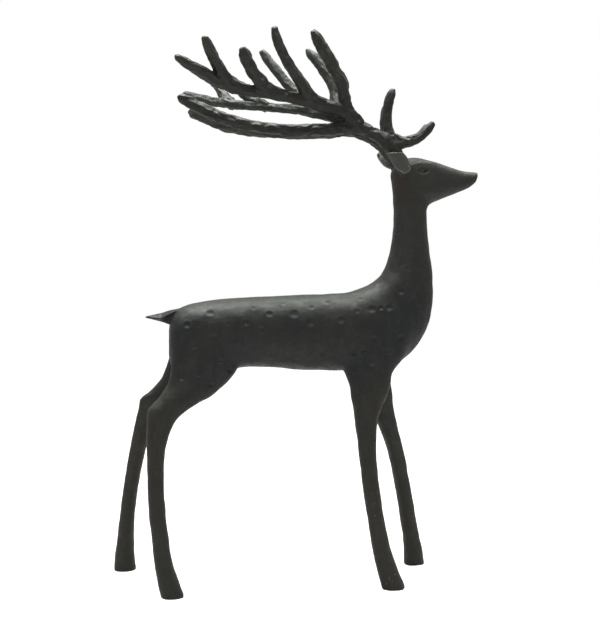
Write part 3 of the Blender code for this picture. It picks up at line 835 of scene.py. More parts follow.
def leg_rings(rows):
    """Return the level rings of one leg."""
    angles = turns(LEG_SIDES)
    along = rounded(np.sin(angles), LEG_SQUARENESS)
    across = rounded(np.cos(angles), LEG_SQUARENESS)
    rings = []
    for z, x, half_length, y, half_width in between_rows(rows, ROWS_BETWEEN):
        heights = np.full(LEG_SIDES, z)
        ring = np.stack((x + along * half_length, y + across * half_width, heights), axis=1)
        rings.append(figure_points(ring))
    return np.array(rings)


def unit_vector(vector):
    """Return the vector at length one."""
    return vector / np.linalg.norm(vector)


def ear_rings(rows, sizes):
    """Return the rings of one ear, a leaf with a thin rim round its hollowed face."""
    filled = between_rows(rows, EAR_ROWS_BETWEEN)
    middles = (filled[:, :3] + filled[:, 3:]) / 2
    halves = (filled[:, 3:] - filled[:, :3]) / 2
    widest = np.linalg.norm(halves, axis=1).max()
    angles = turns(EAR_SIDES)
    rise = rounded(np.sin(angles), EAR_SQUARENESS)
    reach = rounded(np.cos(angles), EAR_SQUARENESS)
    half_thickness = sizes.ear_thickness * 1000 / 2
    rings = []
    steps = zip(np.linspace(0, 1, len(filled)), middles, halves, np.gradient(middles, axis=0))
    for t, middle, half, onward in steps:
        normal = unit_vector(np.cross(half, onward))
        normal = normal * math.copysign(1.0, normal[1] * middle[1])
        half = half * math.sqrt(1 - max(0.0, 1 - t / EAR_ROOT_SHARE) ** 2)
        half_width = np.linalg.norm(half)
        across = reach * half_width
        inner = np.clip((half_width - np.abs(across)) / (sizes.ear_rim * 1000), 0, 1)
        inner = inner * np.clip((1 - t) / DISH_FADES[1], 0, 1) * np.clip(t / DISH_FADES[0], 0, 1)
        out = rise * half_thickness + EAR_HOLLOW * (across / widest) ** 2
        out = out - np.where(rise > 0.5, sizes.ear_dish * 1000 * inner, 0)
        ring = middle + reach[:, None] * half + out[:, None] * normal
        rings.append(figure_points(ring))
    return np.array(rings)


def trunk_axis(side):
    """Return the antler's seat on the skull and the way its trunk leaves it."""
    first, second = TRUNK[0], TRUNK[1]
    seat = figure_points((first[0], side * first[1], first[2]))
    onward = figure_points((second[0], side * second[1], second[2]))
    return seat, unit_vector(onward - seat)


def round_plug(start, away, length):
    """Return the rings of a round plug of the trunk's girth from start along away."""
    radius = TRUNK[0][3] * UNIT
    across = unit_vector(np.cross(away, (0.0, 1.0, 0.0))) * radius
    up = np.cross(away, across)
    angles = turns(TINE_SIDES)[:, None]
    ring = start + np.cos(angles) * across + np.sin(angles) * up
    return np.array([ring + away * length * t for t in np.linspace(0, 1, PLUG_RINGS)])


def tine_rows(name, side):
    """Return one tine's rows for this side, with the left antler's own differences."""
    rows = LEFT_TOP_TINE if side > 0 and name == "top_tine" else TINES[name]
    rows = np.array(rows, float)
    if side > 0 and name != "top_tine":
        middle_x, middle_z, tip_x, tip_z, girth = LEFT_CHANGES[name]
        t = np.arange(len(rows)) / (len(rows) - 1)
        hump = 4 * t * (1 - t)
        rows[:, 0] += middle_x * hump + tip_x * t * t
        rows[:, 2] += middle_z * hump + tip_z * t * t
        rows[:, 3] *= girth
    rows[:, 1] *= side
    return rows


def carried_frames(path):
    """Return unit vectors across a path, carried along it without twist."""
    along = np.gradient(path, axis=0)
    along /= np.linalg.norm(along, axis=1)[:, None]
    first = unit_vector(np.cross(along[0], FIRST_ACROSS))
    across = [first]
    for way in along[1:]:
        carried = across[-1] - way * (across[-1] @ way)
        across.append(unit_vector(carried))
    across = np.array(across)
    return along, across, np.cross(along, across)


def wander(rng, places, strength, wavelength):
    """Return a smooth random column of values at the places, about as strong as asked."""
    line = np.zeros(len(places))
    for wave in range(WANDER_WAVES):
        size = wavelength * rng.uniform(*WANDER_SPREAD) / (1 + wave)
        line += np.sin(places * math.tau / size + rng.uniform(0, math.tau)) / (1 + wave)
    return strength * (line / WANDER_SCALE)[:, None]


def scooped(rng, places, angles):
    """Return how deep the scoops cut at each place along a tine and round it, up to 1."""
    depth = np.zeros((len(places), angles.shape[1]))
    scoop = rng.uniform(*FIRST_SCOOP)
    while scoop < places[-1]:
        angle = rng.uniform(0, math.tau)
        half_length = rng.uniform(*SCOOP_HALF_LENGTH)
        half_width = rng.uniform(*SCOOP_HALF_WIDTH)
        along = (places[:, None] - scoop) / half_length
        round_it = np.abs(np.mod(angles - angle + math.pi, math.tau) - math.pi) / half_width
        depth += rng.uniform(*SCOOP_SHARE) * np.clip(1 - along ** 2 - round_it ** 2, 0, 1)
        scoop += rng.uniform(*SCOOP_STEP)
    return depth


def tine_girth(rng, places, radii, sizes):
    """Return the radius at each place along a tine and round it, ridged and dented."""
    angles = turns(TINE_SIDES)[None, :]
    step = math.tau / rng.choice(FACET_COUNTS)
    turn = rng.uniform(0, math.tau) + wander(rng, places, *FACET_TURN)
    within = np.mod(angles + turn, step) - step / 2
    flat = math.cos(step / 2) / np.cos(within)
    strength = sizes.ridge_strength * (RIDGE_MEAN + wander(rng, places, *RIDGE_DRIFT))
    girth = 1 + strength * (flat / flat.mean() - 1) * RIDGE_GAIN
    girth = girth + wander(rng, places, *GIRTH_DRIFT)
    for lobes in LOBES:
        turn = rng.uniform(0, math.tau) + wander(rng, places, *LOBE_TURN)
        depth = LOBE_DEPTH * (1 + wander(rng, places, *LOBE_DRIFT))
        girth = girth + depth * np.cos(lobes * angles + turn)
    girth = girth - sizes.scoop_depth * scooped(rng, places, angles)
    return radii[:, None] * girth * GIRTH_KEPT


def tine_rings(rows, rng, sizes):
    """Return the rings of one tine, run out to a blunt, slightly cloven tip."""
    filled = between_rows(rows, TINE_ROWS_BETWEEN)
    steps = np.linalg.norm(np.diff(filled[:, :3], axis=0), axis=1)
    run = np.concatenate(([0.0], np.cumsum(steps)))
    places = np.linspace(0, run[-1], max(FEWEST_TINE_RINGS, round(run[-1] / TINE_STEP)))
    path = np.stack([np.interp(places, run, filled[:, axis]) for axis in range(3)], axis=1)
    radii = np.interp(places, run, filled[:, 3])
    girth = tine_girth(rng, places, radii, sizes)
    along, across, up = carried_frames(path)
    angles = turns(TINE_SIDES)
    cosines, sines = np.cos(angles)[None, :, None], np.sin(angles)[None, :, None]
    ways = cosines * across[:, None, :] + sines * up[:, None, :]
    rings = path[:, None, :] + ways * girth[:, :, None]
    cleft = TIP_CLEFT * radii[-1] * np.cos(2 * angles + rng.uniform(0, math.tau))
    closing = []
    for onward, share in TIP_RINGS:
        ring = path[-1] + (rings[-1] - path[-1]) * share
        ring = ring + (onward * radii[-1] + cleft * share)[:, None] * along[-1]
        closing.append(ring)
    rings = np.concatenate((rings, np.array(closing)))
    return figure_points(rings.reshape(-1, 3)).reshape(rings.shape)


def antler_stacks(side, seed, sizes):
    """Return the rings of every tine of one antler, with its foot."""
    rng = random.Random(seed)
    tubes = [tine_rows("trunk", side)[1:]]
    tubes += [tine_rows(name, side) for name in TINES if name != "trunk"]
    if side < 0:
        for web in RIGHT_WEBS:
            rows = np.array(web, float)
            rows[:, 1] *= side
            tubes.append(rows)
    stacks = [tine_rings(rows, rng, sizes) for rows in tubes]
    seat, away = trunk_axis(side)
    stacks.append(round_plug(seat + away * SEAT_GAP * UNIT, away, FOOT_HEIGHT * UNIT))
    return stacks


def loft_mesh(name, stacks):
    """Return a mesh with one closed body through each stack of rings."""
    points, faces, base = [], [], 0
    for stack in stacks:
        count, sides = stack.shape[:2]
        index = base + np.arange(count * sides).reshape(count, sides)
        after = np.roll(index, -1, axis=1)
        quads = np.stack((index[:-1], after[:-1], after[1:], index[1:]), axis=-1)
        faces += quads.reshape(-1, 4).tolist()
        faces.append(index[0][::-1].tolist())
        faces.append(index[-1].tolist())
        points.append(stack.reshape(-1, 3))
        base += count * sides
    mesh = bpy.data.meshes.new(name)
    mesh.from_pydata(np.concatenate(points).tolist(), [], faces)
    bm = bmesh.new()
    bm.from_mesh(mesh)
    bmesh.ops.recalc_face_normals(bm, faces=bm.faces)
    bm.to_mesh(mesh)
    bm.free()
    return mesh


def add_piece(name, mesh):
    """Add a named object for the mesh to the scene."""
    piece = bpy.data.objects.new(name, mesh)
    bpy.context.scene.collection.objects.link(piece)
    return piece


def bake_modifiers(piece):
    """Replace the piece's mesh with its evaluated one and clear its modifiers."""
    bpy.context.view_layer.update()
    graph = bpy.context.evaluated_depsgraph_get()
    mesh = bpy.data.meshes.new_from_object(piece.evaluated_get(graph))
    old = piece.data
    piece.modifiers.clear()
    piece.data = mesh
    bpy.data.meshes.remove(old)


def run_together(piece, voxel):
    """Turn the piece's overlapping bodies into one even skin."""
    remesh = piece.modifiers.new("Run together", "REMESH")
    remesh.mode = "VOXEL"
    remesh.voxel_size = voxel
    bake_modifiers(piece)


def smooth_out(piece, rounds, group="", sideways=False):
    """Smooth the piece's mesh, where a vertex group says or all over, or only sideways."""
    smooth = piece.modifiers.new("Smooth out", "SMOOTH")
    smooth.factor = ROUND_SHARE
    smooth.iterations = rounds
    smooth.vertex_group = group
    smooth.use_x = smooth.use_z = not sideways
    bake_modifiers(piece)


def thin_out(piece, triangles):
    """Bring the mesh down to about so many triangles, keeping its detail."""
    piece.data.calc_loop_triangles()
    have = len(piece.data.loop_triangles)
    if have > triangles:
        decimate = piece.modifiers.new("Fewer faces", "DECIMATE")
        decimate.ratio = triangles / have
        decimate.use_collapse_triangulate = True
        bake_modifiers(piece)


def vertex_places(mesh):
    """Return the mesh's vertices as an array."""
    places = np.empty(len(mesh.vertices) * 3, np.float32)
    mesh.vertices.foreach_get("co", places)
    return places.reshape(-1, 3).astype(float)


def vertex_facings(mesh):
    """Return the mesh's vertex normals as an array."""
    facings = np.empty(len(mesh.vertices) * 3, np.float32)
    mesh.vertex_normals.foreach_get("vector", facings)
    return facings.reshape(-1, 3).astype(float)


def set_places(mesh, places):
    """Move the mesh's vertices."""
    mesh.vertices.foreach_set("co", places.astype(np.float32).ravel())
    mesh.update()


def keep_inside(piece):
    """Draw the piece's outermost parts in a little, so that it stays in the solids' box."""
    places = vertex_places(piece.data)
    for axis in range(3):
        for sign, limit in ((1.0, SOLIDS_HIGH[axis]), (-1.0, -SOLIDS_LOW[axis])):
            out = places[:, axis] * sign
            over = out.max() - limit
            if over > 0:
                start = limit - DRAWN_LENGTH
                beyond = out > start
                share = DRAWN_LENGTH / (DRAWN_LENGTH + over)
                out[beyond] = start + (out[beyond] - start) * share
                places[:, axis] = out * sign
    set_places(piece.data, places)


def soften_joins(piece, spots, rounds, sideways=False):
    """Smooth the body in round regions, such as where limbs and head run into the trunk."""
    places = vertex_places(piece.data)
    weight = np.zeros(len(places))
    for x, y, z, radius in spots:
        away = np.linalg.norm(places - figure_points((x, y, z)), axis=1)
        weight = np.maximum(weight, 1 - away / (radius * UNIT))
    weight = np.clip(weight * JOIN_STRENGTH, 0, 1)
    group = piece.vertex_groups.new(name="softened")
    for step in range(1, WEIGHT_STEPS + 1):
        chosen = np.nonzero(np.round(weight * WEIGHT_STEPS) == step)[0]
        group.add(chosen.tolist(), step / WEIGHT_STEPS, "REPLACE")
    smooth_out(piece, rounds, group.name, sideways)
    piece.vertex_groups.clear()


def cast_waves(points, rng, wavelength):
    """Return a smooth random field over the points, about -1 to 1."""
    field = np.zeros(len(points))
    for _ in range(WAVE_COUNT):
        way = unit_vector(np.array([rng.gauss(0, 1) for _ in range(3)]))
        size = wavelength * rng.uniform(*WAVE_SPREAD)
        field += np.sin(points @ way * math.tau / size + rng.uniform(0, math.tau))
    return field / math.sqrt(WAVE_COUNT)


def press_dent(places, middle, facing, radius, depth):
    """Press one round dent with a faint rim into the places, in place."""
    away = np.linalg.norm((places - middle) * DENT_STRETCH, axis=1) / radius
    near = np.nonzero(away < DENT_REACH)[0]
    share = away[near]
    bowl = np.where(share < 1, (1 - share ** 2) ** 2, 0)
    rim = RIM_HEIGHT * np.exp(-((share - RIM_PLACE) / RIM_SOFTNESS) ** 2)
    places[near] -= facing * (depth * (bowl - rim))[:, None]


def seen_dents(piece, sizes):
    """Return the dents that the photograph shows, as place, facing, radius and depth."""
    spots = []
    pixel = CAMERA_DISTANCE / PHOTO_FOCAL
    for u, v, width in DENTS_SEEN:
        start, way = photo_ray(u, v)
        hit, place, facing, _ = piece.ray_cast(start, way)
        if hit:
            radius = width * pixel * SOFT_EDGE_SHARE
            depth = sizes.dent_depth * (SIDE_DEPTH_SHARE - TOP_DEPTH_LOSS * max(facing.z, 0.0))
            spots.append((np.array(place), np.array(facing), radius, depth))
    return spots


def far_dents(piece, seen, rng, sizes):
    """Return dents like the seen ones on the far side, near the places across from them."""
    spots = []
    shift_x, shift_z = FAR_DENT_SHIFT
    for place, _, radius, _ in seen:
        shift = Vector((rng.uniform(-shift_x, shift_x), 0, rng.uniform(-shift_z, shift_z)))
        aim = Vector(place) + shift * UNIT
        start = Vector((aim.x, 2 * CAMERA_DISTANCE, aim.z))
        hit, found, facing, _ = piece.ray_cast(start, Vector((0, -1, 0)))
        if hit and found.y > 0:
            spots.append((np.array(found), np.array(facing), radius, sizes.dent_depth))
    return spots


def dent_spots(piece, sizes):
    """Return where all dents lie: those seen, those across, and fainter ones between them."""
    rng = random.Random(DENT_SEED)
    spots = seen_dents(piece, sizes)
    spots += far_dents(piece, spots, rng, sizes)
    for _ in range(DENT_TRIES):
        angle = rng.uniform(0, math.tau)
        x, z = rng.uniform(*DENTED_X), rng.uniform(*DENTED_Z)
        highest = TRUNK_AXIS_Z if x < NECK_AXIS_X else z
        aim = Vector(figure_points((x, 0.0, min(z, highest))))
        way = Vector((0, math.cos(angle), math.sin(angle)))
        hit, found, facing, _ = piece.ray_cast(aim + way * TRY_DISTANCE, -way)
        if not hit or (found - aim).length > TRY_REACH:
            continue
        place = np.array(found)
        if min(np.linalg.norm(place - other[0]) for other in spots) < DENT_SPACING:
            continue
        share = rng.uniform(*(NEAR_DEPTH_SHARES if found.y < 0 else FAR_DEPTH_SHARES))
        radius = rng.uniform(*OTHER_DENT_RADII) * UNIT
        spots.append((place, np.array(facing), radius, sizes.dent_depth * share))
    return spots


def carve_eyes(places, facings):
    """Sink both eyes into the cheeks: an almond hollow with a deeper pupil."""
    for side in (-1.0, 1.0):
        on_cheek = (places[:, 1] * side > CHEEK_OFFSET) & (facings[:, 1] * side > CHEEK_FACING)
        chosen = np.nonzero(on_cheek)[0]
        near_side = places[chosen] * (1.0, -side, 1.0)
        u, v = photo_pixels(near_side).T
        along = (u - EYE_MIDDLE[0]) / EYE_HALF_LENGTH
        up = (EYE_MIDDLE[1] - v) / EYE_HALF_HEIGHT
        lid = np.clip(1 - along ** 2, 0, 1) - np.abs(up)
        hollow = EYE_DEPTH * np.clip(lid / WALL_FOOT, 0, 1)
        ball = BALL_HEIGHT * np.clip(lid - BALL_EDGE, 0, 1)
        rim = LID_RIM_HEIGHT * np.exp(-((lid + LID_RIM_PLACE) / LID_RIM_SOFTNESS) ** 2)
        rim = rim * (np.abs(along) < LID_RIM_END)
        pupil_off = np.hypot(u - PUPIL_MIDDLE[0], v - PUPIL_MIDDLE[1]) / PUPIL_RADIUS
        pupil = PUPIL_DEPTH * np.exp(-pupil_off ** 2)
        sink = hollow - ball - rim + pupil
        sink[np.hypot(along, up) > EYE_REACH] = 0
        places[chosen, 1] -= side * sink * UNIT


def sharpen_hocks(places, facings):
    """Draw the hocks out to the corners that the photograph shows."""
    pixels = photo_pixels(places)
    for corner, side in zip(HOCKS_SEEN, (-1.0, 1.0)):
        away = np.hypot(pixels[:, 0] - corner[0], pixels[:, 1] - corner[1])
        chosen = (places[:, 1] * side > HOCK_OFFSET) & (facings[:, 0] < HOCK_FACING)
        chosen = chosen & (away < HOCK_REACH)
        places[chosen, 0] -= HOCK_DRAW * UNIT * np.exp(-away[chosen] / HOCK_SOFTNESS)


def body_stacks(sizes):
    """Return the rings of the forms that run together, and of those set on afterwards."""
    trunk_rows = between_rows(TORSO, ROWS_BETWEEN)
    back = np.interp(trunk_rows[:, 1], BACK_TO_NECK, (BACK_SQUARENESS, TORSO_SQUARENESS))
    trunk = profile_rings(trunk_rows, BODY_SIDES, back, TORSO_SQUARENESS)
    head_rows = between_rows(HEAD, ROWS_BETWEEN)
    head = profile_rings(head_rows, BODY_SIDES, BROW_SQUARENESS, JAW_SQUARENESS, brow=BROW_DROPS)
    tail_rows = between_rows(TAIL, ROWS_BETWEEN)
    tail = profile_rings(
        tail_rows, BODY_SIDES, TAIL_TOP_SQUARENESS, TAIL_HOLLOW_SQUARENESS, TAIL_EDGE)
    added = [tail] + [ear_rings(rows, sizes) for rows in EARS]
    for side in (-1, 1):
        seat, away = trunk_axis(side)
        added.append(round_plug(seat - away * SEAT_DEPTH * UNIT, away, SEAT_DEPTH * UNIT))
    return [trunk, head] + [leg_rings(rows) for rows in LEGS], added


def join_meshes(piece, mesh):
    """Add another mesh's bodies to the piece's own."""
    bm = bmesh.new()
    bm.from_mesh(piece.data)
    bm.from_mesh(mesh)
    bm.to_mesh(piece.data)
    bm.free()
    bpy.data.meshes.remove(mesh)


def shape_body(sizes):
    """Return the body casting: run together, dented, its eyes carved, its soles flat."""
    main_forms, added_forms = body_stacks(sizes)
    body = add_piece("stag_body", loft_mesh("stag_body", main_forms))
    run_together(body, FIRST_VOXEL * UNIT)
    soften_joins(body, SOFTENED, JOIN_ROUNDS)
    soften_joins(body, SOFTENED_AGAIN, JOIN_ROUNDS)
    soften_joins(body, SMOOTHED_SIDES, SIDE_ROUNDS, sideways=True)
    join_meshes(body, loft_mesh("added_forms", added_forms))
    run_together(body, fineness(sizes.body_fineness))
    smooth_out(body, SKIN_ROUNDS)
    mesh = body.data
    places, facings = vertex_places(mesh), vertex_facings(mesh)
    rng = random.Random(SKIN_SEED)
    spots = dent_spots(body, sizes)
    swell = sum(share * cast_waves(places, rng, length) for share, length in SKIN_WAVES)
    places += facings * (swell * sizes.cast_unevenness / SKIN_WAVES[0][0])[:, None]
    for middle, facing, radius, depth in spots:
        press_dent(places, middle, facing, radius, depth)
    carve_eyes(places, facings)
    sharpen_hocks(places, facings)
    places[:, 2] = np.where(places[:, 2] < SOLE_SNAP * UNIT, 0.0, places[:, 2])
    set_places(mesh, places)
    thin_out(body, sizes.most_triangles)
    keep_inside(body)
    return body


def shape_antler(name, side, seed, sizes):
    """Return one antler casting, its ridged tines run together."""
    antler = add_piece(name, loft_mesh(name, antler_stacks(side, seed, sizes)))
    run_together(antler, fineness(sizes.antler_fineness))
    smooth_out(antler, SKIN_ROUNDS)
    thin_out(antler, sizes.most_triangles)
    keep_inside(antler)
    return antler


def fineness(voxel):
    """Return the voxel size, unchanged."""
    return voxel * 1.0


def node(tree, kind, place, **values):
    """Add a shader node; values set its properties, or its input sockets by name."""
    made = tree.nodes.new(kind)
    made.location = place
    for key, value in values.items():
        if hasattr(made, key):
            setattr(made, key, value)
        else:
            made.inputs[key.replace("_", " ")].default_value = value
    return made


def link(tree, out, into):
    """Join two sockets."""
    tree.links.new(out, into)


def scaled(tree, value, low, high, place, start=0.0, end=1.0):
    """Return a socket that goes smoothly from low to high as a value goes from start to end."""
    spread = node(tree, "ShaderNodeMapRange", place, interpolation_type="SMOOTHSTEP")
    for name, number in (("From Min", start), ("From Max", end), ("To Min", low), ("To Max", high)):
        spread.inputs[name].default_value = number
    link(tree, value, spread.inputs["Value"])
    return spread.outputs["Result"]


def computed(tree, operation, place, first, second=None, third=None, clamp=False):
    """Return the result of a Math node of sockets or numbers."""
    math_node = node(tree, "ShaderNodeMath", place, operation=operation, use_clamp=clamp)
    for socket, value in zip(math_node.inputs, (first, second, third)):
        if isinstance(value, (int, float)):
            socket.default_value = value
        elif value is not None:
            link(tree, value, socket)
    return math_node.outputs[0]


def mixed(tree, factor, first, second, place):
    """Return the colour between two colours or sockets, by a factor socket."""
    mix = node(tree, "ShaderNodeMix", place, data_type="RGBA")
    link(tree, factor, mix.inputs[0])
    for socket, value in ((mix.inputs[6], first), (mix.inputs[7], second)):
        if isinstance(value, bpy.types.NodeSocket):
            link(tree, value, socket)
        else:
            socket.default_value = (*value, 1.0)
    return mix.outputs[2]


def noise(tree, vector, scale, detail, place):
    """Return the value of a noise whose cells are 1 / scale metres wide."""
    made = node(
        tree, "ShaderNodeTexNoise", place, Scale=scale, Detail=detail, Roughness=NOISE_ROUGHNESS)
    link(tree, vector, made.inputs["Vector"])
    return made.outputs["Fac"]


def new_group(name, inputs, outputs):
    """Return a shader node group with float or vector sockets, and its two end nodes."""
    group = bpy.data.node_groups.new(name, "ShaderNodeTree")
    for socket, kind, default in inputs:
        made = group.interface.new_socket(socket, in_out="INPUT", socket_type=kind)
        if default is not None:
            made.default_value = default
    for socket in outputs:
        group.interface.new_socket(socket, in_out="OUTPUT", socket_type="NodeSocketFloat")
    start = node(group, "NodeGroupInput", (-900, 0))
    end = node(group, "NodeGroupOutput", (700, 0))
    return group, start, end


def cast_skin_group():
    """Return the group that gives a casting's blotches, lumps and fine sand grain."""
    inputs = (
        ("Place", "NodeSocketVector", None),
        ("Blotch Scale", "NodeSocketFloat", 30.0),
        ("Lump Scale", "NodeSocketFloat", 240.0),
        ("Grain Scale", "NodeSocketFloat", 1500.0),
    )
    group, start, end = new_group("cast_skin", inputs, ("Blotch", "Lump", "Grain", "Height"))
    found = []
    for row, name in enumerate(("Blotch Scale", "Lump Scale", "Grain Scale")):
        level = -300 * row
        made = node(group, "ShaderNodeTexNoise", (-600, level), Detail=SKIN_DETAIL)
        made.inputs["Roughness"].default_value = NOISE_ROUGHNESS
        link(group, start.outputs["Place"], made.inputs["Vector"])
        link(group, start.outputs[name], made.inputs["Scale"])
        found.append(scaled(group, made.outputs["Fac"], 0.0, 1.0, (-350, level), *SKIN_VALUES))
    lumps = computed(group, "MULTIPLY", (0, -200), found[1], LUMP_SHARE)
    grain = computed(group, "MULTIPLY", (0, -400), found[2], GRAIN_SHARE)
    height = computed(group, "ADD", (250, -300), lumps, grain)
    for name, socket in zip(("Blotch", "Lump", "Grain", "Height"), (*found, height)):
        link(group, socket, end.inputs[name])
    return group


def dust_and_light_group():
    """Return the group that masks what faces up, broken by a noise: dust and painted top light."""
    inputs = (
        ("Place", "NodeSocketVector", None),
        ("Start", "NodeSocketFloat", 0.2),
        ("Full", "NodeSocketFloat", 0.95),
    )
    group, start, end = new_group("facing_up_dust_and_light", inputs, ("Mask",))
    spread = node(group, "ShaderNodeMapRange", (-250, -100), interpolation_type="SMOOTHSTEP")
    link(group, surface_normal(group, (-500, -200))["Z"], spread.inputs["Value"])
    link(group, start.outputs["Start"], spread.inputs["From Min"])
    link(group, start.outputs["Full"], spread.inputs["From Max"])
    broken = noise(group, start.outputs["Place"], DUST_AND_LIGHT_SCALE, DUST_AND_LIGHT_DETAIL, (-500, -450))
    patchy = scaled(group, broken, LEAST_DUST_AND_LIGHT, 1.0, (-250, -450), *DUST_AND_LIGHT_VALUES)
    mask = computed(group, "MULTIPLY", (200, -200), spread.outputs["Result"], patchy, clamp=True)
    link(group, mask, end.inputs["Mask"])
    return group


def near_mask(tree, place_socket, spot, at):
    """Return a mask that is one in a spot round a figure point and fades outwards."""
    middle, radius, soft = spot
    away = node(tree, "ShaderNodeVectorMath", at, operation="DISTANCE")
    link(tree, place_socket, away.inputs[0])
    away.inputs[1].default_value = tuple(figure_points(middle))
    inner, outer = radius * UNIT, (radius + soft) * UNIT
    return scaled(tree, away.outputs["Value"], 1.0, 0.0, (at[0] + 200, at[1]), inner, outer)


def new_material(name):
    """Return a material with its Principled shader, its tree and its object coordinates."""
    material = bpy.data.materials.new(name)
    material.use_nodes = True
    tree = material.node_tree
    shader = tree.nodes["Principled BSDF"]
    shader.location = (900, 0)
    tree.nodes["Material Output"].location = (1200, 0)
    place = node(tree, "ShaderNodeTexCoord", (-1200, 0)).outputs["Object"]
    return material, tree, shader, place


def placed_group(tree, group, place_socket, at, **values):
    """Add a group to a material with its own values."""
    made = node(tree, "ShaderNodeGroup", at)
    made.node_tree = group
    link(tree, place_socket, made.inputs["Place"])
    for key, value in values.items():
        made.inputs[key.replace("_", " ")].default_value = value
    return made.outputs


def parted(tree, vector, at):
    """Return the X, Y and Z outputs of a vector socket."""
    parts = node(tree, "ShaderNodeSeparateXYZ", at)
    link(tree, vector, parts.inputs[0])
    return parts.outputs


def surface_normal(tree, at):
    """Return the X, Y and Z outputs of the surface's normal."""
    geometry = node(tree, "ShaderNodeNewGeometry", (at[0] - 200, at[1]))
    return parted(tree, geometry.outputs["Normal"], at)


def set_gloss(tree, shader, cast, roughness, specular, bump):
    """Give the shader its roughness, its plain gloss and the casting's bumps."""
    rough = scaled(tree, cast["Lump"], *roughness, (300, -250))
    link(tree, rough, shader.inputs["Roughness"])
    shader.inputs["Metallic"].default_value = 0.0
    shader.inputs["Specular IOR Level"].default_value = specular
    link(tree, bumped(tree, cast["Height"], *bump, (600, -350)), shader.inputs["Normal"])


def bumped(tree, height, strength, distance, at):
    """Return the normal that a height gives."""
    bump = node(tree, "ShaderNodeBump", at, Strength=strength, Distance=distance)
    link(tree, height, bump.inputs["Height"])
    return bump.outputs["Normal"]


def streak_mask(tree, place):
    """Return the mask of the soft upright streaks."""
    drawn = node(tree, "ShaderNodeVectorMath", (-1100, 1150), operation="MULTIPLY")
    link(tree, place, drawn.inputs[0])
    drawn.inputs[1].default_value = STREAK_STRETCH
    streaks = noise(tree, drawn.outputs[0], STREAK_SCALE, STREAK_DETAIL, (-900, 1150))
    return scaled(tree, streaks, 0.0, STREAK_STRENGTH, (-700, 1150), *STREAK_VALUES)


def ear_masks(tree, mirrored):
    """Return the masks of the painted light on both ears and of the painted highlights on their edges.
    """
    ears = near_mask(tree, mirrored, EAR_SPOT, (-900, -1400))
    sides = parted(tree, mirrored, (-900, -1600))
    start, full = (distance * UNIT for distance in EARS_FROM)
    outside = scaled(tree, sides["Y"], 0.0, 1.0, (-700, -1600), start, full)
    ears = computed(tree, "MULTIPLY", (-450, -1400), ears, outside)
    facing = surface_normal(tree, (-900, -2100))
    sideways = computed(tree, "ABSOLUTE", (-700, -2100), facing["Y"])
    edges = scaled(tree, sideways, 1.0, 0.0, (-550, -2100), *EDGE_HIGHLIGHT_FACING)
    return ears, computed(tree, "MULTIPLY", (-400, -2100), edges, ears)


def speck_mask(tree, place):
    """Return the mask of the few pale paint specks on the near front shank."""
    cells = node(tree, "ShaderNodeTexVoronoi", (-900, -800), Scale=SPECK_SCALE)
    link(tree, place, cells.inputs["Vector"])
    dots = scaled(tree, cells.outputs["Distance"], 1.0, 0.0, (-650, -800), *SPECK_EDGE)
    parts = node(tree, "ShaderNodeSeparateColor", (-650, -1000))
    link(tree, cells.outputs["Color"], parts.inputs[0])
    few = computed(tree, "GREATER_THAN", (-400, -1000), parts.outputs[0], SPECKLESS_SHARE)
    shank = near_mask(tree, place, SHANK_SPOT, (-900, -1200))
    few_dots = computed(tree, "MULTIPLY", (-200, -900), dots, few)
    return computed(tree, "MULTIPLY", (0, -900), few_dots, shank)


def body_colour(tree, place, cast, colours):
    """Return the body's own colour: brown legs, green trunk, grey head, all with streaks."""
    height = parted(tree, place, (-900, 450))["Z"]
    low = scaled(tree, height, *BROWN_SHARES, (-700, 450), *BROWN_TO_GREEN)
    patchy = computed(tree, "ADD", (-700, 250), cast["Blotch"], -BLOTCH_MIDDLE)
    patchy = computed(tree, "MULTIPLY", (-600, 250), patchy, BLOTCH_STRENGTH)
    brown = computed(tree, "ADD", (-500, 350), low, patchy, clamp=True)
    upper = scaled(tree, height, 0.0, 1.0, (-700, 650), *GREEN_TO_GREY)
    colour = mixed(tree, upper, colours.body_green, colours.head_grey, (-550, 650))
    colour = mixed(tree, brown, colour, colours.body_brown, (-400, 100))
    return mixed(tree, streak_mask(tree, place), colour, colours.streaks, (-380, 1150)), upper


